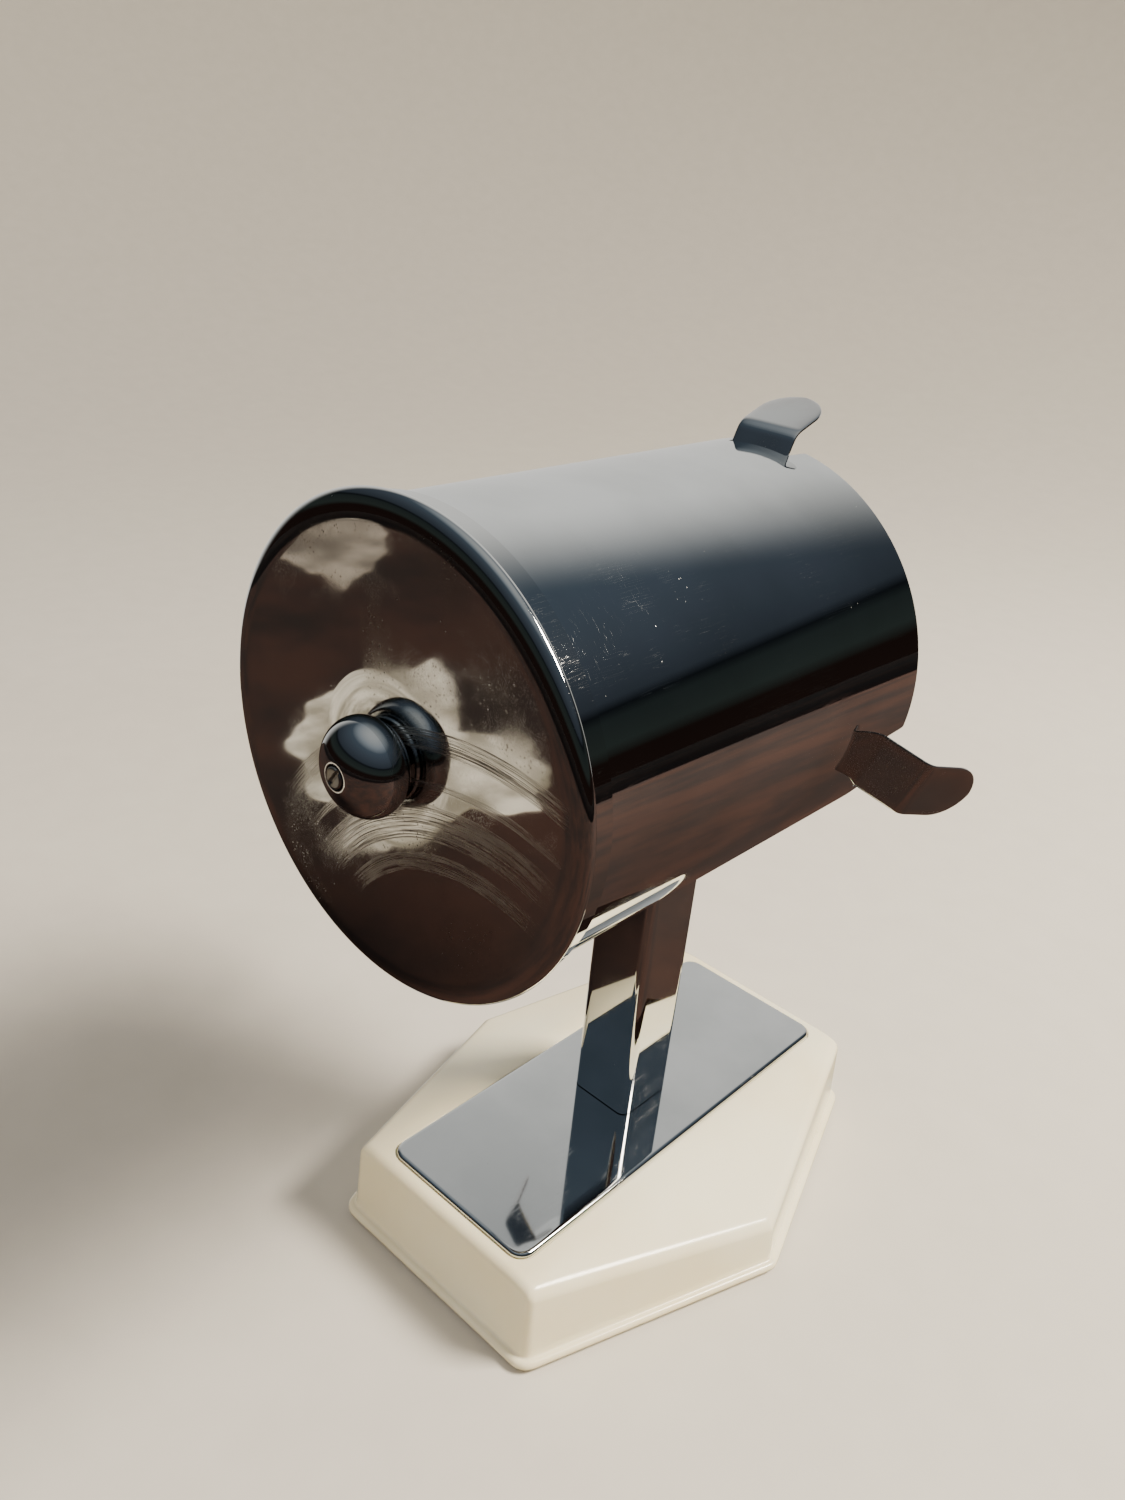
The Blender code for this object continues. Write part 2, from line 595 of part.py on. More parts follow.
def lid_profile():
    """Pressed sheet: flat face, rounded shoulder, rolled bead and short skirt."""
    skirt_inside = DRUM_RADIUS + FIT
    skirt_outside = skirt_inside + LID_SHEET
    skirt_end = LID_FACE + LID_SKIRT_LENGTH
    bead_line = LID_FACE + LID_BEAD_SET_BACK
    roll = LID_BEAD_RADIUS - skirt_outside
    shoulder = LID_BEAD_RADIUS - LID_FLAT_RADIUS
    hole = ROD_TAIL_RADIUS + FIT
    outer = []
    for step in range(6):
        turn = math.radians(90 * step / 5)
        outer.append(
            (
                LID_FLAT_RADIUS + shoulder * math.sin(turn),
                bead_line - LID_BEAD_SET_BACK * math.cos(turn),
            )
        )
    for step in range(1, 4):
        turn = math.radians(90 * step / 3)
        outer.append((skirt_outside + roll * math.cos(turn), bead_line + roll * math.sin(turn)))
    inside_face = LID_FACE + LID_SHEET
    return (
        [(hole, LID_FACE)]
        + outer
        + [
            (skirt_outside, skirt_end),
            (skirt_inside, skirt_end),
            (skirt_inside, bead_line),
            (LID_FLAT_RADIUS, inside_face),
            (hole, inside_face),
        ]
    )


def make_lid(head, chrome, steel):
    turned("lid", lid_profile(), chrome, head, FINE)
    washer_back = LID_FACE - FIT
    washer = ring_profile(
        ROD_TAIL_RADIUS + FIT, KNOB_WASHER_RADIUS, washer_back - KNOB_WASHER_THICKNESS, washer_back
    )
    turned("knob_washer", washer, chrome, head)
    turned("lid_knob", knob_profile(), chrome, head, 36)

    tail_end = knob_tip() - ROD_TAIL_PROUD
    shoulder = REAR_DISC_FRONT + FIT
    rod = [
        (0.0, tail_end),
        (ROD_TAIL_RADIUS * ROD_TAIL_TIP_SHARE, tail_end),
        (ROD_TAIL_RADIUS, tail_end + ROD_TAIL_PROUD),
        (ROD_TAIL_RADIUS, shoulder),
        (ROD_RADIUS, shoulder),
        (ROD_RADIUS, STOP_WASHER_BACK - FIT),
        (ROD_TAIL_RADIUS, STOP_WASHER_BACK - FIT),
        (ROD_TAIL_RADIUS, ROD_FRONT),
        (0.0, ROD_FRONT),
    ]
    turned("guide_rod", rod, steel, head)
    hole = ROD_TAIL_RADIUS + FIT
    nut_front = REAR_DISC_BACK - FIT
    hexagon_nut("rod_nut", hole, ROD_NUT_RADIUS, nut_front - ROD_NUT_LENGTH, nut_front, steel, head)
    hexagon_nut(
        "stop_nut", hole, ROD_NUT_RADIUS, STOP_NUT_FRONT - STOP_NUT_LENGTH, STOP_NUT_FRONT, steel, head
    )
    washer = ring_profile(hole, STOP_WASHER_RADIUS, STOP_WASHER_BACK, STOP_WASHER_FRONT)
    turned("stop_washer", washer, steel, head)


def knob_tip():
    """Where the ball is cut flat round the rod's end."""
    cut = math.sqrt(1 - (KNOB_TIP_RADIUS / KNOB_RADIUS) ** 2)
    return LID_FACE - KNOB_CENTRE - KNOB_HALF_THICKNESS * cut


def knob_profile():
    """A flattened ball, cut flat at its back and round its bore."""
    centre = LID_FACE - KNOB_CENTRE
    back_turn = math.acos((KNOB_BACK - centre) / KNOB_HALF_THICKNESS)
    tip_turn = math.pi - math.asin(KNOB_TIP_RADIUS / KNOB_RADIUS)
    bore = ROD_TAIL_RADIUS + FIT
    steps = 10
    outside = []
    for step in range(steps + 1):
        turn = tip_turn + (back_turn - tip_turn) * step / steps
        outside.append(
            (KNOB_RADIUS * math.sin(turn), centre + KNOB_HALF_THICKNESS * math.cos(turn))
        )
    return [(bore, knob_tip())] + outside + [(bore, KNOB_BACK)]


# ---------------------------------------------------------------- carriage
def make_carriage(carriage, chrome, steel, brass):
    sleeve = turned(
        "sleeve",
        ring_profile(SLEEVE_INSIDE, SLEEVE_RADIUS, SLEEVE_BACK, SLEEVE_FRONT),
        chrome,
        carriage,
        FINE,
    )
    hole = pivot_bar(0.0, PIVOT_RADIUS + FIT, -DRUM_RADIUS, DRUM_RADIUS)
    shape_with(sleeve, "DIFFERENCE", hole)

    edge = SLEEVE_INSIDE - FIT
    hub_bore = BUSH_RADIUS + FIT
    hub_front = BUSH_FRONT - BUSH_COLLAR - FIT
    spider = [
        (hub_bore, SLEEVE_BACK),
        (edge, SLEEVE_BACK),
        (edge, SLEEVE_BACK + SPIDER_FLANGE_LENGTH),
        (edge - SPIDER_FLANGE, SLEEVE_BACK + SPIDER_FLANGE_LENGTH),
        (edge - SPIDER_FLANGE, SLEEVE_BACK + SPIDER_THICKNESS),
        (SPIDER_HUB_RADIUS, SLEEVE_BACK + SPIDER_THICKNESS),
        (SPIDER_HUB_RADIUS, hub_front),
        (hub_bore, hub_front),
    ]
    spider = turned("rear_spider", spider, steel, carriage, FINE)
    low, high = SLEEVE_BACK - CUT_PAST, SLEEVE_BACK + SPIDER_THICKNESS + CUT_PAST
    window_radius = DRUM_RADIUS * SPIDER_WINDOW_RADIUS_SHARE
    window = turned_mesh("window", ring_profile(0.0, window_radius, low, high), COARSE)
    places = [
        Matrix.Rotation(math.radians(120 * index + 30), 4, "Z")
        @ Matrix.Translation((DRUM_RADIUS * SPIDER_WINDOW_CENTRE_SHARE, 0.0, 0.0))
        for index in range(3)
    ]
    shape_with(spider, "DIFFERENCE", join_copies(window, places))
    bush_bore = ROD_RADIUS + RUN
    bush = [
        (bush_bore, SLEEVE_BACK),
        (BUSH_RADIUS, SLEEVE_BACK),
        (BUSH_RADIUS, BUSH_FRONT - BUSH_COLLAR),
        (BUSH_COLLAR_RADIUS, BUSH_FRONT - BUSH_COLLAR),
        (BUSH_COLLAR_RADIUS, BUSH_FRONT),
        (bush_bore, BUSH_FRONT),
    ]
    turned("spider_bush", bush, brass, carriage)

    for side, angle in TAB_ANGLE.items():
        bend, tip = DRUM_RADIUS + TAB_BEND_OUT[side], DRUM_RADIUS + TAB_TIP_OUT[side]
        mesh = tab_mesh(f"finger_tab_{side}", bend, tip)
        mesh.transform(Matrix.Rotation(angle - math.pi / 2, 4, "Z"))
        add_object(f"finger_tab_{side}", mesh, chrome, carriage)

    pin_inside = PAN_RADIUS - PIVOT_INSET
    washer_inside = (PAN_RADIUS + SLEEVE_INSIDE - TILT_WASHER_THICKNESS) / 2
    washer_outside = washer_inside + TILT_WASHER_THICKNESS
    for side, half_turn in (("right", 0.0), ("left", math.pi)):
        turn = Matrix.Rotation(half_turn, 4, "Z")
        pin = pivot_bar(0.0, PIVOT_RADIUS, pin_inside, SLEEVE_RADIUS - FIT)
        pin.transform(turn)
        add_object(f"pivot_pin_{side}", pin, steel, carriage)
        washer = pivot_bar(PIVOT_RADIUS + FIT, TILT_WASHER_RADIUS, washer_inside, washer_outside)
        washer.transform(turn)
        add_object(f"tilt_washer_{side}", washer, brass, carriage)


def pivot_bar(bore, radius, low, high):
    """A bar, or a ring, along X round the tilt axis."""
    bar = turned_mesh("pivot", ring_profile(bore, radius, low, high), COARSE)
    bar.transform(Matrix.Translation((0.0, 0.0, TILT_AXIS)) @ Matrix.Rotation(math.pi / 2, 4, "Y"))
    return bar


def tab_mesh(name, bend_radius, tip_radius):
    """A bent strip, standing on +Y, from its welded foot to its rounded tip.

    The middle layer runs through the corners listed as (radius, forward); the strip
    is given its thickness square to that path, mitred at each bend.
    """
    foot_radius = SLEEVE_INSIDE - FIT - TAB_THICKNESS / 2 - foot_sagitta()
    turn_at = SLEEVE_FRONT + TAB_TURN
    path = [
        Vector((foot_radius, turn_at - TAB_FOOT_LENGTH)),
        Vector((foot_radius, turn_at)),
        Vector((bend_radius, turn_at + TAB_LEG_RISE)),
        Vector((tip_radius, turn_at + TAB_LEG_RISE + TAB_TIP_LENGTH)),
    ]
    half_foot, half = TAB_FOOT_WIDTH / 2, TAB_WIDTH / 2
    stations = [(path[0], normal_at(path, 0), half_foot), (path[1], normal_at(path, 1), half_foot)]
    neck = path[1].lerp(path[2], TAB_NECK_SHARE)
    leg_normal = normal_of(path[1], path[2])
    stations += [(neck, leg_normal, half), (path[2], normal_at(path, 2), half)]
    along = (path[3] - path[2]).normalized()
    tip_normal = normal_of(path[2], path[3])
    steps = 8
    for step in range(steps):
        turn = math.radians(90 * step / steps)
        place = path[3] - along * half * (1 - math.sin(turn))
        stations.append((place, tip_normal, half * math.cos(turn)))
    stations.append((path[3], tip_normal, half * TAB_TIP_FLAT_SHARE))

    vertices = []
    for place, normal, half_width in stations:
        for side in (-1, 1):
            for layer in (-1, 1):
                point = place + normal * (layer * TAB_THICKNESS / 2)
                vertices.append((side * half_width, point.x, point.y))
    faces = [[0, 1, 3, 2]]
    for step in range(len(stations) - 1):
        low, high = 4 * step, 4 * step + 4
        faces += [
            [low, high, high + 1, low + 1],
            [low + 2, low + 3, high + 3, high + 2],
            [low, low + 2, high + 2, high],
            [low + 1, high + 1, high + 3, low + 3],
        ]
    last = 4 * (len(stations) - 1)
    faces.append([last, last + 2, last + 3, last + 1])
    mesh = mesh_from(name, vertices, faces)
    grown = bmesh.new()
    grown.from_mesh(mesh)
    bmesh.ops.recalc_face_normals(grown, faces=grown.faces)
    grown.to_mesh(mesh)
    grown.free()
    return mesh


def foot_sagitta():
    """How far a flat foot stands off the sleeve's round inside."""
    return SLEEVE_INSIDE - math.sqrt(SLEEVE_INSIDE**2 - (TAB_FOOT_WIDTH / 2) ** 2)


def normal_of(start, end):
    along = (end - start).normalized()
    return Vector((along.y, -along.x))


def normal_at(path, index):
    """The mitre direction at a corner, long enough to keep the strip's thickness."""
    if index == 0:
        return normal_of(path[0], path[1])
    before = normal_of(path[index - 1], path[index])
    after = normal_of(path[index], path[index + 1])
    middle = (before + after).normalized()
    return middle / middle.dot(before)


# ---------------------------------------------------------------- mirror
def make_mirror(tilt, chrome, card, glass):
    """The pieces are turned round the tilt empty, whose origin is the tilt axis."""
    rear = PAN_REAR - TILT_AXIS
    pan = [
        (0.0, rear),
        (PAN_RADIUS - PAN_EDGE, rear),
        (PAN_RADIUS, rear + PAN_EDGE),
        (PAN_RADIUS, rear + PAN_DEPTH),
        (PAN_BORE, rear + PAN_DEPTH),
        (PAN_BORE, rear + PAN_BACK),
        (0.0, rear + PAN_BACK),
    ]
    pan = turned("mirror_pan", pan, chrome, tilt, FINE)
    hole = pivot_bar(0.0, PIVOT_RADIUS + RUN, -DRUM_RADIUS, DRUM_RADIUS)
    hole.transform(Matrix.Translation((0.0, 0.0, -TILT_AXIS)))
    shape_with(pan, "DIFFERENCE", hole)
    edge = PAN_BORE - FIT
    low = BACKING_REAR - TILT_AXIS
    turned(
        "mirror_backing", ring_profile(0.0, edge, low, low + BACKING_THICKNESS), card, tilt, FINE
    )
    low = GLASS_REAR - TILT_AXIS
    turned("mirror_glass", ring_profile(0.0, edge, low, low + GLASS_THICKNESS), glass, tilt, FINE)
    low = BEZEL_REAR - TILT_AXIS
    bezel = ring_profile(edge - BEZEL_WIDTH, edge, low, low + BEZEL_THICKNESS)
    turned("bezel_ring", bezel, chrome, tilt, FINE)


def make_empty(name, parent=None, forward=0.0):
    """An empty on the drum's axis; children measure forward along its +Z."""
    made = bpy.data.objects.new(name, None)
    bpy.context.scene.collection.objects.link(made)
    made.parent = parent
    made.location = (0.0, 0.0, forward)
    return made


for old in list(bpy.data.objects):
    bpy.data.objects.remove(old)

chrome_plate = material("chrome", (0.62, 0.62, 0.60), 0.08, 1.0)
cream_plastic = material("cream_plastic", (0.78, 0.73, 0.58), 0.25, 0.0)
cast_iron = material("cast_iron", (0.08, 0.08, 0.08), 0.75, 0.9)
black_paint = material("black_paint", (0.02, 0.02, 0.02), 0.5, 0.0)
green_felt = material("green_felt", (0.04, 0.12, 0.07), 0.95, 0.0)
zinc_steel = material("zinc_steel", (0.50, 0.51, 0.53), 0.35, 1.0)
brass_metal = material("brass", (0.60, 0.44, 0.18), 0.3, 1.0)
brown_card = material("brown_card", (0.25, 0.16, 0.09), 0.9, 0.0)
silvered_glass = material("silvered_glass", (0.86, 0.88, 0.88), 0.02, 1.0)

head_axis = make_empty("head_axis")
head_axis.location = (0.0, 0.0, AXIS_HEIGHT)
head_axis.rotation_euler.x = math.pi / 2
carriage_slide = make_empty("carriage_slide", head_axis)
mirror_tilt = make_empty("mirror_tilt", carriage_slide, TILT_AXIS)

make_foot(cream_plastic, chrome_plate, cast_iron, black_paint, green_felt, zinc_steel)
make_post(head_axis, chrome_plate, zinc_steel, brass_metal)
make_drum(head_axis, chrome_plate, zinc_steel, green_felt)
make_lid(head_axis, chrome_plate, zinc_steel)
make_carriage(carriage_slide, chrome_plate, zinc_steel, brass_metal)
make_mirror(mirror_tilt, chrome_plate, brown_card, silvered_glass)
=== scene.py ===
"""The looks of an extendable shaving mirror on a square post and a moulded foot.

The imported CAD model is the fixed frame. Each piece below is worked out from its CAD
piece's box, and takes that piece's place.
"""

import math

import bmesh
import bpy
import numpy as np
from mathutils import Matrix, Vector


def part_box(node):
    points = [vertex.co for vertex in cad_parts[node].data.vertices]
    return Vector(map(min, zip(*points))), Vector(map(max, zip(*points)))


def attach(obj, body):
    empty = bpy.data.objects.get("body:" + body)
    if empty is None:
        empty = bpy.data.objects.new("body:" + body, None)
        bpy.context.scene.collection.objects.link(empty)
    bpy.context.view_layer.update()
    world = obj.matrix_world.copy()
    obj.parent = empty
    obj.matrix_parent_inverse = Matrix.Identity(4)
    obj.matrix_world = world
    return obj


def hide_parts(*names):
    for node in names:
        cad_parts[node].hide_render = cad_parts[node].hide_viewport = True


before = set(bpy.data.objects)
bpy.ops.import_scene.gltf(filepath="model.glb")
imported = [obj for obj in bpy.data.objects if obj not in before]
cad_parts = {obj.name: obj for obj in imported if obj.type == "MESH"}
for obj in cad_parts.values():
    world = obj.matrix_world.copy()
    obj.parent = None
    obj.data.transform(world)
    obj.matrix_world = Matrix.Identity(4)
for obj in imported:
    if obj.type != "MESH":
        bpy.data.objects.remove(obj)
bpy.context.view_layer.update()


# ============================================================ foot shell
# One moulding in glossy ivory plastic: a long six-sided foot whose top falls away to
# two side points, with a thin lip round its bottom edge, a rounded top edge and a
# shallow bed for the metal plate. It is hollow underneath, for the ballast.
def filleted(corners, steps=6):
    """A closed outline from corners given as (a, b, radius).

    Each corner becomes the arc that touches both its sides. One more point just
    before and just after the arc keeps the long sides flat when shaded smooth.
    """
    points = []
    count = len(corners)
    for index, (a, b, radius) in enumerate(corners):
        here = np.array((a, b))
        back = np.array(corners[index - 1][:2]) - here
        ahead = np.array(corners[(index + 1) % count][:2]) - here
        back = back / np.linalg.norm(back)
        ahead = ahead / np.linalg.norm(ahead)
        if radius == 0:
            points.append(here[None])
            continue
        half = np.arccos(np.clip(back @ ahead, -1, 1)) / 2
        reach = radius / np.tan(half)
        middle = (back + ahead) / np.linalg.norm(back + ahead)
        centre = here + middle * radius / np.sin(half)
        start = here + back * reach - centre
        end = here + ahead * reach - centre
        sweep = np.pi - 2 * half
        part = np.linspace(0, 1, steps + 1)[:, None]
        arc = (start * np.sin((1 - part) * sweep) + end * np.sin(part * sweep)) / np.sin(sweep)
        lead = reach + 0.12 * radius
        points += [(here + back * lead)[None], centre + arc, (here + ahead * lead)[None]]
    return np.vstack(points)


def skin(name, grid, sharp=40.0):
    """A closed mesh from points in rows and columns; both ways round, the last joins the first.

    Points that coincide, as at a pole, are merged, and the faces are turned outwards.
    """
    rows, columns = grid.shape[:2]
    ids = np.arange(rows * columns).reshape(rows, columns)
    ids = np.pad(ids, ((0, 1), (0, 1)), mode="wrap")
    quads = np.stack([ids[:-1, :-1], ids[:-1, 1:], ids[1:, 1:], ids[1:, :-1]], axis=-1)
    mesh = bpy.data.meshes.new(name)
    mesh.from_pydata(grid.reshape(-1, 3).tolist(), [], quads.reshape(-1, 4).tolist())
    grown = bmesh.new()
    grown.from_mesh(mesh)
    bmesh.ops.remove_doubles(grown, verts=grown.verts, dist=1e-6)
    bmesh.ops.recalc_face_normals(grown, faces=grown.faces)
    grown.to_mesh(mesh)
    grown.free()
    mesh.shade_smooth()
    mesh.set_sharp_from_angle(angle=math.radians(sharp))
    piece = bpy.data.objects.new(name, mesh)
    bpy.context.scene.collection.objects.link(piece)
    return piece


def fit(piece, node, body, surface):
    """Gives a piece its surface and lets it stand for its CAD piece."""
    piece.data.materials.append(surface)
    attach(piece, body)
    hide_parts(node)


def linear(colour):
    """An sRGB hex colour as scene-linear red, green, blue and a full alpha."""
    parts = [int(colour[place : place + 2], 16) / 255 for place in (1, 3, 5)]
    return (*[p / 12.92 if p <= 0.04045 else ((p + 0.055) / 1.055) ** 2.4 for p in parts], 1.0)


def add_node(tree, kind, inputs=None, **settings):
    """One shader node. Inputs are values, or the sockets that feed them."""
    node = tree.nodes.new(kind)
    for name, value in settings.items():
        setattr(node, name, value)
    for name, value in (inputs or {}).items():
        if isinstance(value, bpy.types.NodeSocket):
            tree.links.new(value, node.inputs[name])
        else:
            node.inputs[name].default_value = value
    return node


def maths(tree, operation, first, second=0.0, third=0.0):
    node = add_node(
        tree, "ShaderNodeMath", {0: first, 1: second, 2: third}, operation=operation
    )
    return node.outputs[0]


def noise(tree, place, scale, detail=3.0, roughness=0.5, distortion=0.0):
    settings = {"Scale": scale, "Detail": detail, "Roughness": roughness}
    settings.update({"Vector": place, "Distortion": distortion})
    return add_node(tree, "ShaderNodeTexNoise", settings).outputs["Fac"]


def stretched(tree, place, scale, turn=(0.0, 0.0, 0.0)):
    """The same place, turned and scaled differently each way."""
    node = add_node(
        tree, "ShaderNodeMapping", {"Vector": place, "Scale": scale, "Rotation": turn}
    )
    return node.outputs["Vector"]


def between(tree, value, low, high, out_low=0.0, out_high=1.0):
    """The value moved smoothly from one range to another, and held inside it."""
    inputs = {"Value": value, "From Min": low, "From Max": high}
    inputs.update({"To Min": out_low, "To Max": out_high})
    node = add_node(tree, "ShaderNodeMapRange", inputs, interpolation_type="SMOOTHSTEP")
    return node.outputs["Result"]


def tinted(tree, amount, first, second):
    """Two colours mixed by an amount from 0 to 1; each is a hex value or a socket."""
    first, second = [linear(end) if isinstance(end, str) else end for end in (first, second)]
    node = add_node(tree, "ShaderNodeMix", {0: amount, 6: first, 7: second}, data_type="RGBA")
    return node.outputs[2]


def start_material(name):
    """An empty Principled material, with its tree, shader and Object place."""
    made = bpy.data.materials.new(name)
    made.use_nodes = True
    tree = made.node_tree
    shader = tree.nodes["Principled BSDF"]
    place = add_node(tree, "ShaderNodeTexCoord").outputs["Object"]
    return made, tree, shader, place


def feed(tree, shader, colour, roughness, metallic=0.0):
    """Links a surface's colour and roughness, and says how metallic it is."""
    tree.links.new(colour, shader.inputs["Base Color"])
    tree.links.new(roughness, shader.inputs["Roughness"])
    shader.inputs["Metallic"].default_value = metallic


def raise_bumps(tree, shader, height, distance, strength=1.0):
    inputs = {"Height": height, "Distance": distance, "Strength": strength}
    bump = add_node(tree, "ShaderNodeBump", inputs)
    tree.links.new(bump.outputs["Normal"], shader.inputs["Normal"])


def ivory_plastic():
    """Old glossy ivory moulding: cloudy yellowing, fine dust specks, soft polish marks."""
    made, tree, shader, place = start_material("ivory_plastic")
    cloud = noise(tree, place, 14.0, 4.0)
    fine = noise(tree, place, 90.0, 5.0)
    yellowed = between(tree, cloud, 0.35, 0.68)
    base = tinted(tree, yellowed, "#FAF4D8", "#F4EAC6")
    # Darker and browner towards the bottom edge, over the lowest few millimetres of the foot.
    height = add_node(tree, "ShaderNodeSeparateXYZ", {"Vector": place}).outputs["Z"]
    darker_near_bottom = between(tree, maths(tree, "ADD", height, maths(tree, "MULTIPLY", fine, 0.004)), 0.0065, 0.0020)
    base = tinted(tree, maths(tree, "MULTIPLY", darker_near_bottom, 0.35), base, "#B9A67E")
    cells = add_node(tree, "ShaderNodeTexVoronoi", {"Vector": place, "Scale": 260.0})
    specks = between(tree, cells.outputs["Distance"], 0.07, 0.03)
    rare = between(tree, noise(tree, place, 55.0, 1.0), 0.60, 0.66)
    specks = maths(tree, "MULTIPLY", specks, rare)
    base = tinted(tree, maths(tree, "MULTIPLY", specks, 0.6), base, "#8A7350")
    gloss = maths(tree, "MULTIPLY_ADD", noise(tree, place, 22.0, 2.0), 0.06, 0.22)
    feed(tree, shader, base, maths(tree, "MULTIPLY_ADD", specks, 0.3, gloss))
    shader.inputs["Subsurface Weight"].default_value = 0.12
    shader.inputs["Subsurface Radius"].default_value = (0.004, 0.003, 0.0015)
    shader.inputs["Subsurface Scale"].default_value = 0.5
    shader.inputs["Coat Weight"].default_value = 0.35
    shader.inputs["Coat Roughness"].default_value = 0.12
    swell = noise(tree, place, 30.0, 2.0)
    peel = maths(tree, "MULTIPLY_ADD", noise(tree, place, 700.0, 2.0), 0.06, swell)
    raise_bumps(tree, shader, peel, 0.00012, 0.35)
    return made


def along_rays(outline, turns):
    """Distance from the middle to a closed convex outline, in each given direction."""
    angles = np.arctan2(outline[:, 1], outline[:, 0])
    order = np.argsort(angles)
    lengths = np.hypot(outline[:, 0], outline[:, 1])
    return np.interp(turns, angles[order], lengths[order], period=2 * np.pi)


def dense(outline, spacing):
    """The closed outline with points no further apart than the spacing."""
    following = np.roll(outline, -1, axis=0)
    lengths = np.linalg.norm(following - outline, axis=1)
    counts = np.maximum(np.ceil(lengths / spacing).astype(int), 1)
    starts = np.repeat(outline, counts, axis=0)
    steps = np.repeat(following - outline, counts, axis=0) / np.repeat(counts, counts)[:, None]
    number = np.concatenate([np.arange(count) for count in counts])[:, None]
    return starts + steps * number


foot_low, foot_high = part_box("foot_shell")
plate_low, plate_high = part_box("top_plate")
FOOT_END_SHARE = 0.581  # the short ends' width as a share of the width at the side points
FOOT_CORNER = 0.006
LIP_WIDTH = 0.0022
LIP_HEIGHT = 0.0028
WALL_LEAN = 0.0012
TOP_ROUND = 0.0030
SIDE_POINT_DROP = 0.0102
FOLD_SOFTNESS = 0.0016
SHELL_WALL = 0.0030
SHELL_CEILING = 0.0040
SPIGOT_HOLE = 0.0073
BED_GAP = 0.0003
BED_EDGE = 0.0005
PLATE_CORNER = 0.005
POINT_SPACING = 0.0025
BOX_MARGIN = 0.00001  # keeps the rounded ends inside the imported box
SMALLEST_CORNER = 0.002
FOLD_INSET = 0.0064  # from the side point to where the top's fall ends
LIP_FILLET = 0.0008
MOUTH_EDGE = 0.0004


def foot_outline(inset):
    """The six-sided outline moved in by the inset, with arcs at its corners."""
    half_length = foot_high.y - BOX_MARGIN - inset
    slant = (foot_high.x * (1 - FOOT_END_SHARE)) / foot_high.y
    wing = foot_high.x - inset * math.hypot(1, slant)
    end = wing - slant * half_length
    radius = max(FOOT_CORNER - inset, SMALLEST_CORNER)
    half = [(end, -half_length), (wing, 0.0), (end, half_length)]
    corners = [(a, b, radius) for a, b in half] + [(-a, -b, radius) for a, b in half]
    return dense(filleted(corners, 8), POINT_SPACING)


def rectangle(a, b, radius, steps, spacing):
    """A rectangle's outline from its half width and half length, with arcs at its corners."""
    corners = [(a, -b, radius), (a, b, radius), (-a, b, radius), (-a, -b, radius)]
    return dense(filleted(corners, steps), spacing)


def plate_outline(margin):
    """The plate's rounded rectangle, with a margin outside it."""
    return rectangle(
        plate_high.x + margin, plate_high.y + margin, PLATE_CORNER + margin, 8, POINT_SPACING
    )


def circle(radius):
    turns = np.linspace(-np.pi, np.pi, 120, endpoint=False)
    return np.stack([radius * np.cos(turns), radius * np.sin(turns)], axis=1)


def foot_top(x):
    """Level in the middle; past the fold it falls in a straight line to the side points.

    The fold is eased: the fall is a softened ramp, the log of one plus e to the power
    of the distance past the fold over the softness.
    """
    fold = foot_high.x * FOOT_END_SHARE - FOLD_INSET
    past = np.logaddexp(0, (np.abs(x) - fold) / FOLD_SOFTNESS) * FOLD_SOFTNESS
    return foot_high.z - SIDE_POINT_DROP * past / (foot_high.x - FOLD_INSET - fold)


def ring(outline, turns, height):
    """Points on an outline in the given directions; the height is a number or a rule for x."""
    reach = along_rays(outline, turns)
    x, y = reach * np.cos(turns), reach * np.sin(turns)
    z = height(x) if callable(height) else np.full_like(x, height)
    return np.stack([x, y, z], axis=1)


